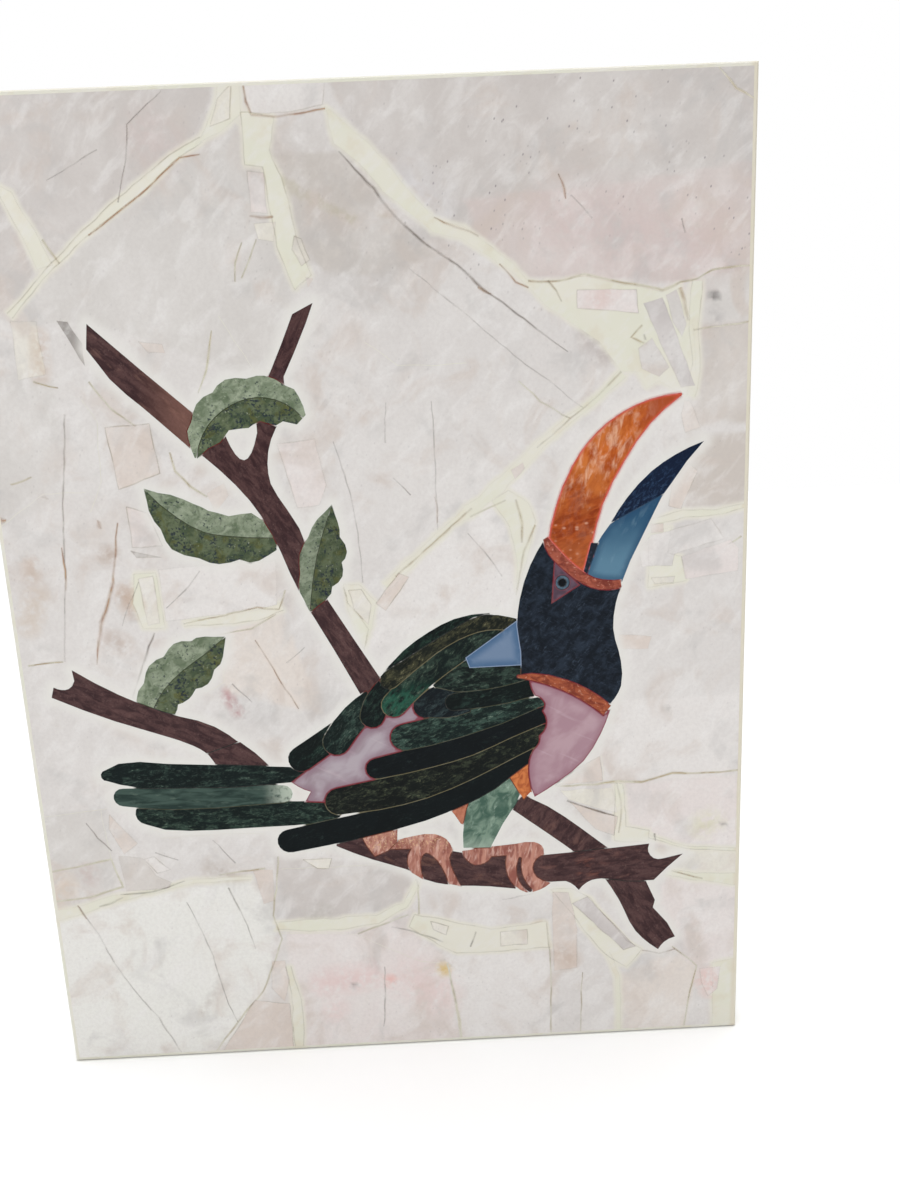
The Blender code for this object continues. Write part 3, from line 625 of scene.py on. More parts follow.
LINES = {  # cracks and joints by the colour that has crept into them. The tan ones part two slices
    "tan": [
        [(-66, 217, 0.5), (-70, 206, 0.8), (-71, 196, 0.5)], [(-57, 218, 0.6), (-67, 198, 0.8)],
        [(-87, 170, 0.5), (-90, 158, 1.2), (-92, 148, 1), (-98, 136, 0.5)],
        [(-176, 223, 1.4), (-168, 210, 0.8)],
        [(95, 190, 1), (112, 189, 1), (127, 192, 1.2), (145, 188, 1), (160, 185, 1.2), (172, 182, 1.4),
         (182, 186, 1), (192, 187, 0.8), (200, 192, 1), (226, 194, 0.8)],
        [(106, 190, 1.2), (111, 184, 1), (114, 178, 0.5)], [(190, 159, 0.8), (226, 163, 0.7)],
        [(160, 163, 0.8), (154, 157, 1.4), (161, 153, 1)],
        [(148, 138, 1), (135, 125, 0.9), (118, 112, 0.9), (98, 96, 0.8)],
        [(58, 62, 1), (45, 52, 1.2), (30, 39, 1.2), (10, 23, 1)],
        [(57, 57, 0.8), (68, 62, 1), (78, 66, 0.8)], [(88, 135, 0.5), (100, 123, 1), (118, 112, 0.6)],
        [(96, 50, 1), (89, 36, 1.4), (85, 20, 1), (83, 8, 0.6)],
        [(84, 66, 1), (88, 52, 1.6), (87, 40, 1)],
        [(-22, 18, 0.7), (-20, 8, 0.8), (-12, -2, 0.8), (-8, -9, 0.6), (-12, -22, 0.5)],
        [(-160, 145, 0.8), (-150, 130, 1), (-136, 119, 0.6)], [(-192, 146, 0.8), (-178, 142, 0.6)],
        [(-118, 103, 1), (-116, 92, 1.6), (-108, 83, 1.4), (-99, 76, 0.8)],
        [(-120, 0, 0.6), (-95, 4, 0.8), (-75, 8, 1), (-62, 6, 0.8), (-57, 18, 0.8)],
        [(-102, -8, 0.5), (-80, -5, 0.8), (-64, 3, 0.6)], [(-218, -22, 1), (-196, -20, 0.6)],
        [(-226, -160, 1), (-205, -157, 1), (-183, -153, 1.4), (-180, -165, 1.2), (-178, -173, 1.6),
         (-200, -179, 1.2), (-226, -181, 1)], [(-115, -168, 0.6), (-100, -166, 1), (-85, -165, 0.8)],
        [(-76, -157, 0.8), (-79, -180, 1), (-83, -199, 1), (-78, -216, 0.8), (-86, -236, 1),
         (-94, -254, 1), (-110, -272, 1.4), (-134, -303, 1)],
        [(-28, -215, 0.8), (-12, -209, 1), (6, -203, 0.8)], [(13, -178, 1), (13, -203, 1)],
        [(30, -240, 1), (33, -262, 1.6), (36, -285, 2), (37, -303, 2)],
        [(102, -118, 0.8), (130, -118, 1.4), (145, -117, 1.6), (160, -118, 1.4), (180, -113, 1.4),
         (200, -114, 1.2), (226, -113, 1.2)], [(144, -118, 1.2), (147, -134, 1), (145, -152, 1)],
        [(180, -181, 1), (200, -188, 1)],
        [(180, -236, 0.8), (190, -245, 1), (197, -252, 1), (192, -275, 1), (188, -303, 1)],
        [(97, -214, 0.6), (99, -250, 0.8), (98, -303, 0.8)], [(120, -252, 0.5), (118, -303, 0.6)],
        [(200, 300, 0.6), (212, 286, 1.4), (224, 279, 0.8)], [(213, 33, 0.8), (221, 38, 1)],
        [(-213, 88, 1), (-200, 92, 0.6)],
    ],
    "rust": [
        [(-153, 63, 0.6), (-156, 50, 1.2), (-158, 40, 1.5), (-160, 27, 1.6), (-165, 15, 1.8),
         (-170, 3, 2.5), (-173, -7, 2), (-175, -15, 0.9), (-176, -23, 0.4)],
        [(-60, 231, 0.8), (-54, 230, 1.8), (-47, 230, 1)],
        [(182, 183, 2), (184, 176, 2.4), (187, 165, 1.2)],
        [(79, 200, 0.5), (88, 190, 1.1), (95, 186, 0.8)],
        [(43, 226, 0.5), (54, 221, 1.4), (68, 215, 0.8)],
        [(66, 188, 0.8), (70, 186, 1.6), (74, 184, 0.6)],
        [(-84, 263, 0.5), (-96, 262, 0.9), (-120, 243, 1), (-150, 224, 0.7)],
        [(-58, 300, 0.8), (-57, 289, 1.2), (-54, 282, 1.5), (-40, 281, 1.2), (-14, 284, 0.9)],
        [(36, 70, 0.4), (37, 62, 1), (37, 54, 0.4)], [(-78, -12, 0.5), (-62, -45, 0.8), (-55, -58, 0.5)],
        [(113, 246, 0.5), (116, 238, 1.4), (117, 233, 0.5)],
        [(-188, 50, 0.5), (-188, 36, 1.2), (-189, 24, 0.6)],
        [(-165, 65, 0.6), (-164.4, 62.5, 3.6), (-163, 60, 0.8)],
        [(-196, 80, 0.4), (-194, 80, 1.8), (-192, 79, 0.4)], [(-222, 68, 3), (-219, 68, 1)],
        [(-209, -184, 0.8), (-204, -194, 0.8)], [(160, -238, 0.6), (172, -241, 0.9), (182, -238, 0.5)],
    ],
    "grey": [
        [(-176, 127, 0.8), (-180, 100, 0.9), (-184, 75, 0.8), (-187, 45, 0.9), (-190, 20, 0.8),
         (-193, 0, 0.8), (-195, -20, 0.7)],
        [(27, 200, 0.3), (45, 185, 0.5), (65, 168, 0.4), (85, 150, 0.5), (105, 135, 0.4),
         (125, 118, 0.3)],
        [(-22, 105, 0.3), (-18, 90, 0.6), (-14, 75, 0.5), (-11, 50, 0.5), (-10, 20, 0.3)],
        [(10, 126, 0.3), (8, 103, 0.7)], [(37, 126, 0.3), (37, 90, 0.5), (37, 50, 0.4)],
        [(12, 82, 0.3), (22, 72, 0.7)], [(55, 47, 0.3), (65, 35, 0.6), (75, 20, 0.5)],
        [(-132, 240, 0.6), (-125, 262, 0.6), (-122, 280, 0.6), (-102, 296, 0.3)],
        [(-170, 253, 0.3), (-140, 268, 0.5)], [(-130, 10, 0.3), (-118, 20, 0.7), (-108, 32, 0.4)],
        [(-145, 27, 0.3), (-152, 14, 0.6), (-158, 0, 0.4)], [(-95, -40, 0.7), (-83, -52, 0.4)],
        [(-208, -185, 0.6), (-198, -205, 0.8), (-190, -228, 0.8), (-175, -255, 0.7), (-165, -270, 0.8),
         (-150, -303, 0.7)],
        [(-138, -186, 0.3), (-132, -202, 0.6), (-125, -225, 0.6), (-118, -262, 0.5), (-113, -276, 0.3)],
        [(-196, -127, 0.5), (-190, -138, 0.9), (-182, -147, 0.6)], [(-155, -150, 0.6), (-140, -156, 0.5)],
        [(-12, -240, 0.5), (-13, -265, 0.9), (-15, -285, 0.4)], [(120, 235, 0.4), (132, 222, 0.8)],
        [(68, -196, 0.5), (90, -192, 0.7)], [(182, 220, 0.4), (185, 212, 0.8)],
        [(-117, -143, 0.3), (-104, -160, 0.6)], [(-48, -18, 0.3), (-60, -28, 0.6)],
    ],
    "dark": [
        [(-8, 262, 0.6), (0, 253, 1), (10, 242, 1.5), (20, 228, 1.3), (32, 217, 1.2), (45, 207, 1.3),
         (55, 200, 1.2), (65, 190, 1.4), (80, 179, 0.9), (100, 163, 0.7), (117, 150, 0.3)],
        [(-139, -5, 0.8), (-145, -18, 1.3), (-150, -30, 1.2), (-157, -46, 0.4)],
        [(112, -128, 1.1), (125, -134, 0.9), (134, -137, 1.4), (142, -140, 0.7)],
        [(-6, -211, 0.5), (8, -215, 1), (28, -224, 0.8)], [(50, -218, 0.9), (46, -229, 0.9)],
        [(-110, -177, 1), (-105, -190, 0.8), (-100, -205, 0.5), (-96, -222, 0.3)],
        [(-195, -186, 0.6), (-187, -184, 1.3), (-179, -180, 0.6)],
        [(-180, -178, 0.5), (-165, -178, 1), (-150, -175, 0.9), (-138, -171, 0.4)],
        [(168, -154, 1.2), (169, -159, 0.8)], [(161, 158, 1.4), (162, 155, 1)],
    ],
}
HAIRS = [  # partings without a width of their own
    [(-75, -166), (-30, -166), (-5, -166)], [(-150, -140), (-110, -139), (-84, -140)],
    [(-226, -122), (-182, -118)], [(-186, -119), (-183, -153)], [(-60, 140), (-72, 160), (-82, 178)],
    [(0, 160), (18, 147), (38, 146), (58, 146)], [(-165, 135), (-158, 122), (-160, 88), (-168, 70)],
    [(-226, 62), (-195, 82), (-170, 82)], [(-97, -8), (-100, -38), (-112, -45)],
    [(134, -98), (136, -117)], [(165, -182), (170, -230), (184, -238)], [(222, -118), (221, -155)],
    [(-78, -212), (-30, -215), (12, -238), (26, -240)],
]
STAINS = {  # how deep in mm, the colour, a paler one that it turns to, how strongly it shows
    "dark": (0.01, (116, 102, 92), (150, 136, 124), 0.85),
    "rust": (0.016, (168, 120, 80), (194, 160, 124), 0.75),
    "tan": (0.022, (178, 154, 120), (204, 190, 160), 0.7),
    "grey": (0.028, (164, 152, 144), (190, 182, 176), 0.6),
}
BLOTS = [  # (across, up) to (across, up), reach, amount, colour
    (-162, 44, -160, 45, 5, 0.5, (150, 112, 80)), (-208, 40, -208, 34, 5, 0.45, (170, 132, 98)),
    (-207, 20, -214, 4, 7, 0.35, (184, 156, 124)), (-154, 20, -150, 11, 6, 0.55, (162, 118, 74)),
    (-166, -8, -158, -12, 6, 0.35, (160, 122, 92)), (-185, 170, -187, 150, 5, 0.4, (176, 140, 108)),
    (-99, -46, -93, -58, 3.4, 0.6, (158, 72, 80)), (-38, 262, 0, 240, 20, 0.4, (182, 174, 168)),
    (-15, 215, 15, 200, 26, 0.38, (180, 174, 170)), (-44, 251, -2, 226, 6, 0.35, (160, 152, 118)),
    (5, 235, 14, 228, 7, 0.25, (168, 150, 120)), (-112, 275, -106, 268, 12, 0.3, (196, 172, 168)),
    (128, 156, 138, 146, 5, 0.5, (164, 152, 148)), (120, 218, 190, 208, 22, 0.3, (206, 180, 178)),
    (30, 245, 40, 235, 12, 0.35, (214, 214, 218)), (201, 178, 202, 178, 2.5, 0.85, (70, 62, 62)),
    (203, 167, 203, 164, 3.5, 0.4, (140, 134, 136)), (140, 181, 134, 176, 6, 0.4, (206, 168, 160)),
    (150, 162, 160, 156, 4, 0.4, (160, 134, 96)), (28, -245, 27, -244, 4, 0.9, (204, 172, 88)),
    (-52, -250, -22, -246, 9, 0.4, (214, 168, 166)), (-10, -251, -8, -250, 4, 0.55, (222, 140, 128)),
    (-48, -272, -46, -270, 7, 0.35, (222, 186, 184)), (5, -250, 22, -262, 14, 0.35, (220, 186, 184)),
    (105, -236, 112, -242, 7, 0.45, (176, 148, 128)), (-120, -163, -105, -168, 6, 0.5, (172, 158, 146)),
    (-50, -199, -56, -201, 6, 0.5, (168, 162, 154)), (-120, -247, -137, -268, 3, 0.4, (170, 156, 148)),
    (-200, -162, -198, -164, 6, 0.4, (182, 152, 146)), (204, -262, 207, -268, 7, 0.5, (216, 158, 148)),
    (205, -148, 200, -150, 8, 0.45, (208, 208, 168)), (155, -128, 165, -130, 9, 0.35, (190, 186, 184)),
    (55, -112, 57, -112, 2, 0.5, (140, 130, 110)), (-33, -253, -33, -253, 2, 0.7, (110, 76, 78)),
    (176, -70, 176, -70, 1.8, 0.6, (110, 104, 100)), (213, -150, 213, -150, 1.6, 0.8, (70, 64, 50)),
    (93, -216, 90, -217, 3.5, 0.5, (170, 132, 88)), (160, -215, 172, -222, 9, 0.3, (224, 198, 192)),
    (-215, -170, -222, -178, 8, 0.4, (212, 186, 160)),
]


def gaps_to(places, start, end):
    """How far each place is from a straight line between two."""
    start, way = np.array(start), np.array(end) - np.array(start)
    share = np.clip((places - start) @ way / max(way @ way, 1e-9), 0, 1)
    return np.linalg.norm(places - start - share[:, None] * way, axis=1)


def shares_of(places, outline):
    """How far each place belongs to an outline: 1 within, 0 outside, with a soft edge."""
    within = np.zeros(len(places), bool)
    gaps = np.full(len(places), np.inf)
    for start, end in zip(outline, outline[1:] + outline[:1]):
        gaps = np.minimum(gaps, gaps_to(places, start, end))
        rise = (end[1] - start[1]) or 1
        crossing = start[0] + (places[:, 1] - start[1]) * (end[0] - start[0]) / rise
        level = (start[1] > places[:, 1]) != (end[1] > places[:, 1])
        within ^= level & (places[:, 0] < crossing)
    return np.clip(0.5 + np.where(within, gaps, -gaps) / TONE_EDGE, 0, 1)[:, None]


def mark_tones(piece):
    """Stores the tone of the slice at each point, what stains it and how far resin shows through."""
    corners = points_of(piece)
    places = corners[:, (0, 2)] / MM
    cream = np.zeros(len(places))
    if abs(corners[:, 1].min() - FACE - SMALL_SINK) < WELD:
        middle = places.mean(0)[None]
        tone, outline = max(SMALL_STONES, key=lambda stone: shares_of(middle, stone[1])[0, 0])
        tones = np.tile(srgb(QUARTZ_TONES[tone]), (len(places), 1))
    else:
        tones = np.tile(srgb(QUARTZ_TONES["fair"]), (len(places), 1))
        for tone, outline in BIG_STONES:
            share = shares_of(places, outline)
            tones = tones * (1 - share) + share * np.array(srgb(QUARTZ_TONES[tone]))
        gaps = np.full(len(places), np.inf)
        for line in edges:
            for start, end in zip(line, line[1:]):
                gaps = np.minimum(gaps, gaps_to(places, start.xy, end.xy))
        cream = np.clip(1 - gaps / CREAM_EDGE, 0, 1)
    blots = np.zeros((len(places), 4))
    for x1, z1, x2, z2, reach, amount, colour in BLOTS:
        fading = 1 - gaps_to(places, (x1, z1), (x2, z2)) / (1.6 * reach)
        here = amount * np.clip(fading, 0, 1) ** 0.8
        stronger = here > blots[:, 3]
        blots[stronger, :3] = srgb(colour)[:3]
        blots[stronger, 3] = here[stronger]
    keep(piece, "tone", tones.ravel(), "FLOAT_COLOR")
    keep(piece, "blot", blots.ravel(), "FLOAT_COLOR")
    keep(piece, "cream", cream)


trim(plate_blank, (0, QUARTZ_BACK, 0), (0, 1, 0))
trim_to_quartz(plate_blank)
quartz_face = set_back(plate_blank, FACE, QUARTZ_SINK)

noise.seed_set(7)  # so that the edges stray alike in each run
chance = random.Random(7)
stained = {kind: [(widened(wandering(spine)), chance.uniform(0.6, 1)) for spine in spines]
           for kind, spines in LINES.items()}
partings = [draw_band(wandering(spine)) for spine in LINES["tan"]]
partings += [draw_band(widened(wandering(spine), HAIR_LINE)) for spine in HAIRS]
edges = [closed(outline) for outline in POOLS]
for spine in CREAM_SEAMS:
    seam = wandering(spine)
    partings.append(draw_band(seam))
    edges += [[point.to_3d() for point in side] for side in sides(seam)]
outlines = [outline for tone, outline in SMALL_STONES]
# A tan line of random strength runs along both sides of each cream seam, round each pool and round each
# small slip.
stained["tan"] += [(widened(line, TAN_LINE), chance.uniform(0.1, 0.55)) for line in edges]
stained["tan"] += [(widened(closed(o), TAN_LINE), chance.uniform(0.2, 0.75)) for o in outlines]
fills = {}
for kind, (sink, *_) in STAINS.items():
    bands = [stain(line, sink + count * STAIN_STEP, strength)
             for count, (line, strength) in enumerate(stained[kind])]
    fills[kind] = as_one_stain(bands, kind + "_stains")
small = as_one_mesh([patch(o, front=SMALL_SINK, thick=SMALL_THICK) for o in outlines], "small_stones")
for piece in (small, *fills.values()):
    trim_to_quartz(piece)
carve(plate_blank, as_one_mesh(partings + [patch(outline) for outline in POOLS], "openings"))
net_front(plate_blank, quartz_face)
net_front(small, FACE + SMALL_SINK)

edit(joined([plate_blank, small], "quartz_blank"))
bpy.ops.mesh.separate(type="LOOSE")
bpy.ops.object.mode_set(mode="OBJECT")
groups = {}
for piece in bpy.context.selected_objects:
    mark_milk(piece)
    mark_tones(piece)
    across, _, up = points_of(piece).mean(0)
    height = "upper" if up > 0.1 else "middle" if up > -0.14 else "lower"
    groups.setdefault(f"quartz_{height}_{'left' if across < 0 else 'right'}", []).append(piece)

rose_quartz = Finish("rose_quartz", "tone")
rose_quartz.lay((225, 222, 219), 0.4, 0.42, 0.68, 62, 35, (9, 4), detail=4, wander=0.6)
rose_quartz.lay((198, 185, 176), 0.6, 0.5, 0.72, 36, 0, (31, 14), detail=4, wander=0.8)
rose_quartz.lay((186, 183, 181), 0.5, 0.52, 0.72, 30, 0, (3, 44), detail=4, wander=0.6)
rose_quartz.lay((229, 227, 225), 0.42, 0.46, 0.7, (22, 10), 48, (3, 3), detail=5, rough=0.6, wander=0.5)
rose_quartz.lay((180, 172, 170), 0.18, 0.35, 0.7, 2.2, detail=6, rough=0.7)
dirt = rose_quartz.cloud(40, 0, (18, 7)).between(0.4, 0.58)
corner = rose_quartz.up().between(165, 215) * rose_quartz.across().between(-10, 60)
specks = rose_quartz.dots((4.2, 2.6), 0.3, 70, core=0.05, rim=0.26)
rose_quartz.tint(specks * dirt * (0.2 + 0.7 * corner), (140, 132, 134))
shows = rose_quartz.mark("cream") * (0.55 + 0.9 * rose_quartz.cloud(6, 0, (2, 9), detail=4))
rose_quartz.tint(shows.between(0.1, 1) * 0.9, CREAM_RESIN)
uneven = rose_quartz.cloud(5, 0, (6, 1), detail=4).between(0.25, 0.6)
rose_quartz.tint(rose_quartz.mark("blot", 3) * uneven, rose_quartz.mark("blot", 0))
milky(rose_quartz)
for name, pieces in groups.items():
    quartz = joined(pieces, name)
    dress(quartz, rose_quartz, roughness=0.25)
    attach(quartz, "root")

for kind, fill in fills.items():
    _, colour, worn, strength = STAINS[kind]
    line = Finish(kind + "_stain", colour)
    line.lay(worn, 1, 0.42, 0.62, 6, detail=4)
    broken = 0.4 + 0.6 * line.cloud(13, 0, (5, 2), detail=4).between(0.4, 0.58)
    line.fade(line.mark("core") ** 1.4 * broken * strength * (1 - line.mark("milk")))
    mark_milk(fill)
    dress(fill, line, roughness=0.35)
    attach(fill, "root")

# The glue. Each stone of the figure is bedded in polyester mastic, which shows round it as a
# line up to a millimetre wide: clear white against the ground, and tinted by hand between the
# stones, dark in the plumage, khaki here and there, red round the bill and the breast.

GLUE_SINK = 0.05 * MM
GLUE_SHEET = (440 * MM, 6 * MM, 590 * MM)  # poured this large, and left only in the pockets
GLUE_NET = 2.5 * MM
GLUE_REACH = 9 * MM
MILK_GLUE = (218, 217, 212)
BILL_GLUE = (214, 104, 96)
DARK_GLUE = (36, 38, 36)
BILL_GLOW = 4.4  # how wide the red glue shows along the bill's edge, half of it under the stone, in mm
GLUE_TONES = (  # of a joint that one of these stones shares in, the first in the list that fits
    (("upper_bill",), BILL_GLUE),
    (("eye_ring", "eye_pupil"), (44, 46, 52)),
    (("breast", "belly", "neck_collar", "bill_band", "eye_patch"), (112, 36, 42)),
    (("lower_bill_tip", "lower_bill_base"), (40, 62, 84)),
    (("upper_limb", "twig", "fork", "middle_branch"), (92, 36, 34)),
    (("shoulder_patch",), (130, 146, 172)),
    (("left_foot", "right_foot", "rear_claw", "leg_patch", "chest_patch"), (104, 54, 40)),
    (("back_feather_2", "wing_feather_6"), (98, 92, 68)),
    (("back_feather_5", "wing_feather_4", "wing_feather_1", "tail_feather_3"), (62, 64, 50)),
    (("leaf_a_light", "leaf_b_light", "leaf_c_light", "leaf_d_light"), (56, 62, 44)),
)

ground = frame["nodes"]["ground_slab"].data
pockets = BVHTree.FromPolygons([v.co for v in ground.vertices], [f.vertices for f in ground.polygons])


def glue_tone(place):
    """White towards the ground, and between two stones the tint of their joint."""
    gaps = {}
    for *_, face, gap in figure.find_nearest_range(place, GLUE_REACH):
        stone = stone_of_face[face]
        gaps[stone] = min(gap, gaps.get(stone, gap))
    near = sorted((gap, stone) for stone, gap in gaps.items())
    if near and near[0][1] == "upper_bill":
        return BILL_GLUE
    if len(near) < 2 or pockets.find_nearest(place)[3] < near[1][0]:
        return MILK_GLUE
    pair = {near[0][1], near[1][1]}
    return next((tone for stones, tone in GLUE_TONES if pair.intersection(stones)), DARK_GLUE)


middle = (0, FACE + GLUE_SINK + GLUE_SHEET[1] / 2, 0)
bpy.ops.mesh.primitive_cube_add(size=1, location=middle, scale=GLUE_SHEET)
glue = bpy.context.object
glue.name = glue.data.name = "stone_glue"
bpy.ops.object.transform_apply()
carve(glue, glue_cutter)
net_front(glue, min(v.co.y for v in glue.data.vertices), GLUE_NET)
tones = [channel for v in glue.data.vertices for channel in srgb(glue_tone(v.co))]
keep(glue, "tone", tones, "FLOAT_COLOR")
mastic = Finish("tinted_mastic", "tone")
mastic.lay(MILK_GLUE, 0.05, 0.4, 0.7, 4)
dress(glue, mastic)
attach(glue, "root")

bill_copy = copied("upper_bill", "bill_copy")
bill_front = max((f for f in bill_copy.data.polygons if f.normal.y < FRONTAL), key=lambda f: f.area)
corners = [bill_copy.data.vertices[i].co / MM for i in bill_front.vertices]
bill_edge = [Vector((corner.x, corner.z, BILL_GLOW)) for corner in corners + corners[:1]]
bpy.data.objects.remove(bill_copy)
glow = as_one_stain([stain(bill_edge, STAINS["rust"][0])], "bill_glow")
red_glue = Finish("red_glue", BILL_GLUE)
red_glue.lay((230, 150, 138), 0.4, 0.4, 0.6, 3)
uneven = 0.6 + 0.4 * red_glue.cloud(8, detail=4).between(0.4, 0.6)
red_glue.fade(red_glue.mark("core") ** 1.6 * uneven * 0.9)
dress(glow, red_glue)
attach(glow, "root")

# The beak, eye and throat. Each stone was chosen for its own colour and figure: calcite in
# orange and blue, sodalite, rosy marble, agate round a jet pupil. They are sawn 6 mm thick and
# polished flush with the ground. Their figure is laid in millimetres on the panel.


def inlay(stone, *nodes):
    """Gives the CAD stones of these names their finish."""
    for node in nodes:
        frame["nodes"][node].data.materials.clear()
        frame["nodes"][node].data.materials.append(stone.polish())


def edged(name, finish, spacing=2 * MM):
    """Sets a copy of a stone in its place, which knows how far in mm its points are from its edge."""
    stone = copied(name, name + "_stone")
    net_front(stone, FACE, spacing)
    places = points_of(stone) / MM
    front = {edge for face in stone.data.polygons if face.normal.y < FRONTAL for edge in face.edge_keys}
    flank = {edge for face in stone.data.polygons if face.normal.y > -0.5 for edge in face.edge_keys}
    gaps = [gaps_to(places, places[start], places[end]) for start, end in front & flank]
    keep(stone, "rim", np.min(gaps, axis=0))
    dress(stone, finish)
    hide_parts(name)
    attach(stone, "root")


bill = Finish("orange_calcite", (158, 70, 28))
grain = bill.cloud((11, 5), 66, (5, 3), detail=6, rough=0.6, wander=0.35)
bill.tint(grain.between(0.34, 0.66), (194, 104, 48))
golden = bill.cloud(15, 0, (1, 6), detail=3, wander=0.3).between(0.42, 0.62)
bill.tint(golden * 0.35, (196, 122, 64))
veil = bill.cloud((10, 4), 74, (2, 8), detail=6, rough=0.65, wander=0.4)
bill.tint(veil.between(0.46, 0.72) * 0.7, (222, 180, 152))
streaks = bill.cloud((8, 3), 20, (7, 1), detail=6, rough=0.62, wander=0.4)
foot = bill.mix(streaks.between(0.38, 0.66), (126, 48, 20), (168, 80, 36))
pebbles = bill.dots((4.6, 3.2), 0.36, 0, (1, 2), core=0.1, rim=0.34)
foot = bill.mix(pebbles * bill.up().between(60, 50) * 0.65, foot, (206, 158, 134))
bill.tint((bill.up() + 16 * golden).between(92, 62) * 0.85, foot)
bill.tint(bill.up().between(44, 36) * 0.4, (172, 96, 54))
bill.tint((bill.across() + 12 * veil).between(158, 178) * 0.85, (158, 70, 42))
bill.tint(bill.mark("rim").between(1.2, 0.1) * 0.6, (196, 84, 64))
edged("upper_bill", bill)

tip = Finish("navy_sodalite", (18, 29, 50))
flecks = tip.cloud((4, 1.8), 50, detail=6, rough=0.7, wander=0.6).between(0.46, 0.7)
tip.tint(flecks * tip.up().between(96, 62), (50, 74, 104))
tip.lay((84, 102, 128), 0.4, 0.6, 0.74, 1.3, detail=5, rough=0.7)
inlay(tip, "lower_bill_tip")

steel = Finish("steel_blue_calcite", (46, 82, 110))
soft = steel.cloud(16, 0, (4, 2), detail=2) * 14 + steel.up()
steel.tint(soft.between(62, 30), (88, 124, 146))
steel.lay((122, 150, 166), 0.25, 0.5, 0.72, (10, 4), 62, (1, 4), detail=4, wander=0.4)
steel.tint(steel.mark("rim").between(5, 0.3) * 0.6, (38, 70, 100))
edged("lower_bill_base", steel)

for node, name, deep, pale, size, low, high in (
    ("bill_wedge", "black_marble", (30, 36, 46), (54, 64, 80), 3, 0.5, 0.7),
    ("eye_ring", "ring_agate", (62, 82, 98), (88, 108, 122), 2.4, 0.35, 0.65),
    ("eye_pupil", "jet", (10, 12, 16), (26, 42, 50), 2, 0.5, 0.8),
):
    stone = Finish(name, deep)
    stone.lay(pale, 1, low, high, size)
    inlay(stone, node)

for node, name, angle, deep, pale, spot in (
    ("bill_band", "rosy_marble", -22, (116, 54, 44), (160, 86, 68), (196, 142, 124)),
    ("neck_collar", "honey_marble", -24, (118, 54, 40), (164, 88, 60), (194, 138, 114)),
):
    stone = Finish(name, deep)
    stone.lay(pale, 1, 0.36, 0.64, (6, 3.4), angle, detail=5, rough=0.6, wander=0.8)
    stone.lay((104, 46, 40), 0.5, 0.56, 0.7, (3.4, 1.6), angle, (5, 1), detail=5, wander=1)
    stone.lay(spot, 0.7, 0.58, 0.68, (2.6, 1.8), angle, (2, 8), detail=4, wander=0.5)
    inlay(stone, node)

mauve = Finish("mauve_agate", (78, 62, 74))
mauve.lay((98, 78, 92), 1, 0.35, 0.65, 5)
mauve.tint(mauve.mark("rim").between(0.8, 0.1) * 0.6, (124, 66, 78))
edged("eye_patch", mauve, 1 * MM)

# The plumage. Blue-black stone for the head, serpentines from black-green to grey-green for the
# feathers, sawn so that their grain runs along each feather, and lilac agate for the breast.

night = Finish("blue_black_stone", (16, 22, 30))
night.lay((36, 45, 57), 1, 0.4, 0.66, (9, 6), 40, detail=6, rough=0.68, wander=0.3)
wisps = night.cloud((6, 1.5), 52, (3, 5), detail=6, rough=0.7, wander=0.3)
patchy = night.cloud(11, 0, (9, 2)).between(0.4, 0.6)
night.tint(wisps.between(0.52, 0.72) * patchy * 0.6, (74, 87, 103))
night.lay((66, 78, 94), 0.45, 0.54, 0.72, (5, 1.2), -24, (8, 1), detail=6, rough=0.7, wander=0.3)
inlay(night, "head")

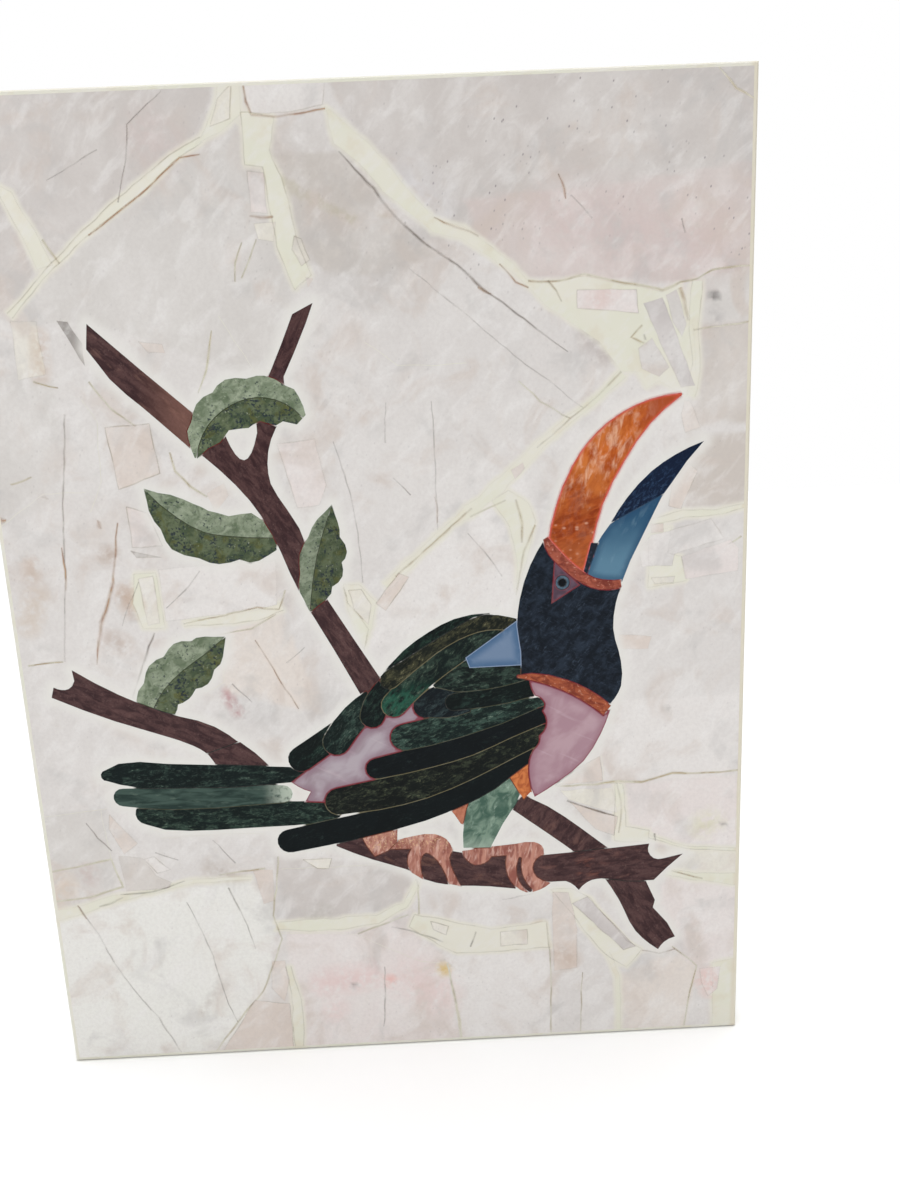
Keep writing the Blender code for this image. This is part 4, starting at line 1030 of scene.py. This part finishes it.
for name, angle, dark, mottle, fleck, share in (
    ("back_feather_1", 38, (22, 27, 23), (60, 60, 44), (120, 116, 88), 0.6),
    ("back_feather_2", 40, (15, 26, 25), (45, 60, 52), (108, 122, 104), 0.6),
    ("back_feather_3", 42, (12, 20, 20), (32, 52, 44), (70, 94, 80), 0.5),
    ("back_feather_4", 42, (12, 20, 21), (32, 50, 44), (76, 96, 84), 0.45),
    ("back_feather_5", 44, (15, 26, 25), (45, 62, 56), (104, 118, 106), 0.55),
    ("back_feather_6", 38, (12, 20, 20), (30, 48, 42), (70, 90, 78), 0.45),
    ("wing_feather_1", 4, (15, 25, 24), (49, 65, 57), (108, 122, 108), 0.6),
    ("wing_feather_2", 8, (12, 20, 20), (30, 46, 42), (70, 88, 78), 0.45),
    ("wing_feather_3", 30, (16, 23, 28), (40, 52, 54), (78, 90, 90), 0.5),
    ("wing_feather_4", 12, (17, 29, 28), (53, 73, 65), (110, 128, 114), 0.65),
    ("wing_feather_5", 13, (11, 17, 20), (24, 36, 36), (56, 68, 62), 0.25),
    ("wing_feather_6", 14, (16, 21, 20), (52, 58, 46), (108, 110, 84), 0.5),
    ("wing_feather_7", 12, (11, 18, 20), (24, 36, 35), (54, 66, 60), 0.2),
    ("tail_feather_1", 0, (14, 25, 25), (44, 60, 54), (96, 114, 102), 0.5),
    ("tail_feather_3", -2, (15, 27, 26), (47, 64, 56), (104, 120, 104), 0.55),
):
    stone = Finish(name + "_serpentine", dark)
    shift = (len(name) * 7 % 23, angle * 1.7 + share * 40)
    stone.lay([0.7 * c for c in dark], 0.5, 0.4, 0.65, 20, 0, shift)
    broad = stone.cloud((13, 5.5), angle, shift, detail=4, wander=0.7)
    fine = stone.cloud((4.5, 2.0), angle, shift, detail=6, rough=0.7, wander=0.9)
    edge = 0.6 - 0.24 * share
    amount = (0.5 * broad + 0.5 * fine).between(edge, edge + 0.15)
    stone.tint(amount, mottle)
    pale = stone.cloud((3.2, 1.1), angle + 8, shift, detail=6, rough=0.72, wander=0.8)
    stone.tint(pale.between(0.53, 0.7) * (0.2 + 0.8 * amount), fleck)
    if name == "back_feather_2":
        emerald = (stone.up() + 10 * stone.cloud((8, 3), 48, detail=4)).between(-36, -50)
        mossy = stone.cloud((7, 3), 48, detail=6, rough=0.65).between(0.38, 0.6)
        stone.tint(emerald * mossy * 0.7, (40, 92, 74))
    inlay(stone, name)

jade = Finish("grey_green_jade", (36, 52, 48))
jade.lay((64, 82, 75), 1, 0.35, 0.65, (22, 4), -1, (3, 6), detail=5, wander=0.5)
jade.lay((100, 116, 104), 0.45, 0.55, 0.75, (8, 3), detail=4)
jade_end = jade.across().between(-84, -64)
jade.tint(jade_end * jade.cloud(4, detail=4).between(0.3, 0.55), (172, 182, 168))
inlay(jade, "tail_feather_2")

shoulder = Finish("pale_blue_stone", (74, 102, 134))
shoulder.tint(shoulder.mark("rim").between(0.4, 6), (108, 128, 154))
shoulder.lay((126, 144, 168), 0.35, 0.5, 0.75, 8)
edged("shoulder_patch", shoulder, 1.5 * MM)

for name, middle, cloudy, edge in (
    ("breast", (162, 130, 140), (176, 148, 156), (138, 96, 110)),
    ("belly", (148, 132, 140), (170, 159, 166), (132, 104, 118)),
):
    rose = Finish(name + "_rose_agate", middle)
    rose.lay(cloudy, 1, 0.36, 0.64, (22, 12), 42, (4, 7), detail=3, wander=0.5)
    rose.lay((204, 186, 192), 0.2, 0.6, 0.7, (60, 4), -28, (12, 9), detail=2)
    rose.tint(rose.mark("rim").between(6, 0.4) * 0.6, edge)
    rose.tint(rose.mark("rim").between(0.9, 0.1) * 0.8, (124, 42, 56))
    edged(name, rose)

onyx = Finish("thigh_green_onyx", (66, 92, 80))
onyx.lay((118, 140, 124), 1, 0.36, 0.64, (11, 8), 55, (6, 3), detail=4, wander=0.8)
onyx.lay((164, 182, 166), 0.55, 0.54, 0.74, (6, 3.6), 50, detail=4, wander=0.7)
onyx.tint(onyx.up().between(-148, -160) * 0.45, (178, 192, 178))
inlay(onyx, "thigh")

amber = Finish("orange_onyx", (158, 80, 48))
amber.lay((200, 120, 70), 1, 0.35, 0.65, (6, 4), 60, detail=4, wander=0.6)
inlay(amber, "chest_patch")
clay = Finish("clay_onyx", (146, 84, 62))
clay.lay((182, 118, 94), 1, 0.35, 0.65, (6, 4), 60, detail=4)
inlay(clay, "leg_patch")

salmon = Finish("salmon_onyx", (140, 86, 76))
salmon.lay((182, 130, 114), 1, 0.36, 0.64, (14, 4), 84, (3, 1), detail=3, wander=0.6)
salmon.lay((214, 180, 168), 0.6, 0.5, 0.68, (8, 2.6), 80, (9, 5), detail=4, wander=0.8)
left_half = salmon.across().between(44, 34)
speckles = salmon.cloud(1.8, detail=6, rough=0.7).between(0.5, 0.66)
salmon.tint(speckles * left_half * salmon.up().between(-160, -152) * 0.8, (222, 190, 148))
inlay(salmon, "left_foot", "right_foot", "rear_claw")

# The branches and leaves. Chocolate jasper with its grain along each limb, and leaves of two
# jaspers each, the paler half towards the light, peppered with navy specks.

for names, angle, light in (
    (("upper_limb",), -42, (128, 96, 86)),
    (("twig",), 62, (84, 62, 66)),
    (("fork", "middle_branch"), -58, (98, 73, 71)),
    (("left_limb_end", "left_limb"), -24, (98, 72, 70)),
    (("diagonal_branch",), 54, (108, 78, 72)),
    (("lower_branch",), -52, (90, 65, 64)),
    (("perch_right", "perch_chip"), 4, (112, 78, 72)),
    (("perch_under_1", "perch_under_2", "perch_under_3"), -12, (108, 76, 66)),
):
    wood = Finish(names[0] + "_jasper", (56, 38, 40))
    right, rise = shift = angle * 0.7 % 19, 3 + angle * 0.3
    wood.lay((84, 61, 60), 1, 0.34, 0.66, (10, 3.4), angle, shift, detail=5, rough=0.6, wander=0.5)
    wood.lay(light, 0.65, 0.54, 0.74, (15, 5), angle, (right + 9, rise + 4), detail=4, wander=0.4)
    wood.lay((44, 32, 36), 0.45, 0.48, 0.68, 1.3, 0, shift, detail=5, rough=0.75)
    wood.lay((126, 102, 98), 0.3, 0.56, 0.7, 1.7, 0, (right, rise + 8), detail=5, rough=0.75)
    if "upper_limb" in names:
        wood.tint(wood.across().between(-138, -104) * 0.5, (136, 98, 86))
    if "perch_right" in names:
        streak = wood.cloud((9, 2.4), 8, (4, 2), detail=4, wander=0.5).between(0.5, 0.66)
        near = (wood.across() - 125) / 10
        wood.tint(streak * (near * near).between(1, 0.2) * 0.4, (136, 84, 70))
    inlay(wood, *names)

for kind, base, cloudy, patch_tone, navy_share in (
    ("light", (116, 128, 106), (150, 160, 138), (88, 102, 78), 0.58),
    ("dark", (70, 82, 62), (100, 110, 84), (90, 92, 50), 0.5),
):
    for count, (leaf, depth) in enumerate((("a", 1.0), ("b", 0.92), ("c", 0.8), ("d", 0.92))):
        blade = Finish(f"leaf_{leaf}_{kind}_jasper", base)
        right, rise = shift = count * 13, count * 7 + len(kind)
        blade.lay(cloudy, 1, 0.36, 0.64, (8, 5), 30, shift, detail=5, wander=0.8)
        blade.lay(patch_tone, 0.7, 0.5, 0.68, 7, 0, (right + 4, 9), wander=0.6)
        deep = [0.6 * channel for channel in base]
        blade.lay(deep, 0.5, 0.5, 0.68, 2.4, 0, shift, detail=6, rough=0.72)
        clusters = blade.cloud(9, 0, (right, 5)).between(0.42, 0.58)
        specks = blade.cloud(1.6, 0, (3, rise), detail=3, rough=0.6)
        navy = specks.between(navy_share, navy_share + 0.07)
        blade.tint(navy * clusters * 0.85, (36, 44, 58))
        blade.lay((196, 200, 182), 0.4, 0.62, 0.7, 2.0, 0, (8, rise), detail=4)
        blade.tint(1 - depth, (20, 24, 16))
        inlay(blade, f"leaf_{leaf}_{kind}")

# The room. A plain pale floor under the panel's lower edge, two large soft lamps in front of it
# and a hazy sun above. The world is white to the camera, and dim to everything that it lights.

FLOOR_SIZE = 8
WORLD_LIGHT = 0.2
LAMPS = (  # name, place in metres, width in metres, power in watts
    ("key", (-0.95, -1.5, 0.8), 1.0, 7.9),
    ("fill", (1.3, -1.6, 0.4), 1.1, 6.5),
)
SUN_POWER = 2.9
SUN_HAZE = math.radians(70)

bpy.ops.mesh.primitive_plane_add(size=FLOOR_SIZE, location=(0, 0, cad_box[0].z))
floor = bpy.context.object
floor.name = "studio_floor"
paint = Finish("studio_white", (250, 250, 250))
paint.shader.inputs["Base Color"].default_value = srgb(paint.colour)
paint.shader.inputs["Roughness"].default_value = 0.9
paint.shader.inputs["Specular IOR Level"].default_value = 0.0
floor.data.materials.append(paint.material)

world = bpy.data.worlds.new("studio")
bpy.context.scene.world = world
world.use_nodes = True
sky = world.node_tree
seen = sky.nodes.new("ShaderNodeLightPath")
strength = sky.nodes.new("ShaderNodeMapRange")
strength.inputs["To Min"].default_value = WORLD_LIGHT
strength.inputs["To Max"].default_value = 1.0
sky.links.new(seen.outputs["Is Camera Ray"], strength.inputs["Value"])
sky.nodes["Background"].inputs["Color"].default_value = (1, 1, 1, 1)
sky.links.new(strength.outputs["Result"], sky.nodes["Background"].inputs["Strength"])

for name, place, size, power in LAMPS:
    towards = (-Vector(place)).to_track_quat("-Z", "Y").to_euler()
    bpy.ops.object.light_add(type="AREA", location=place, rotation=towards)
    light = bpy.context.object
    light.name = light.data.name = name
    light.data.shape = "DISK"
    light.data.size = size
    light.data.energy = power
bpy.ops.object.light_add(type="SUN", location=(0, 0, 2))
bpy.context.object.data.energy = SUN_POWER
bpy.context.object.data.angle = SUN_HAZE

# The camera stands a little right of the middle and above it, and looks down on the panel. Its
# angles, in radians, and its place are those at which the panel's corners fall as in the photo.

TILT, SWAY, TURN = 0.1997964, 0.0127351, 0.0445062
CAMERA_PLACE = (0.0358, -0.5357, 0.1117)
SENSOR_WIDTH = 36
LENS = 25.945

panel_to_camera = (Matrix.Rotation(TURN, 3, "Z") @ Matrix.Rotation(TILT, 3, "X")
                   @ Matrix.Rotation(SWAY, 3, "Y"))
panel_to_room = Matrix(((1, 0, 0), (0, 0, -1), (0, 1, 0)))
aim = (panel_to_room @ panel_to_camera.transposed()).to_euler()
bpy.ops.object.camera_add(location=CAMERA_PLACE, rotation=aim)
camera = bpy.context.object
camera.data.sensor_width = SENSOR_WIDTH
camera.data.lens = LENS
bpy.context.scene.camera = camera
bpy.context.scene.view_settings.view_transform = "Standard"
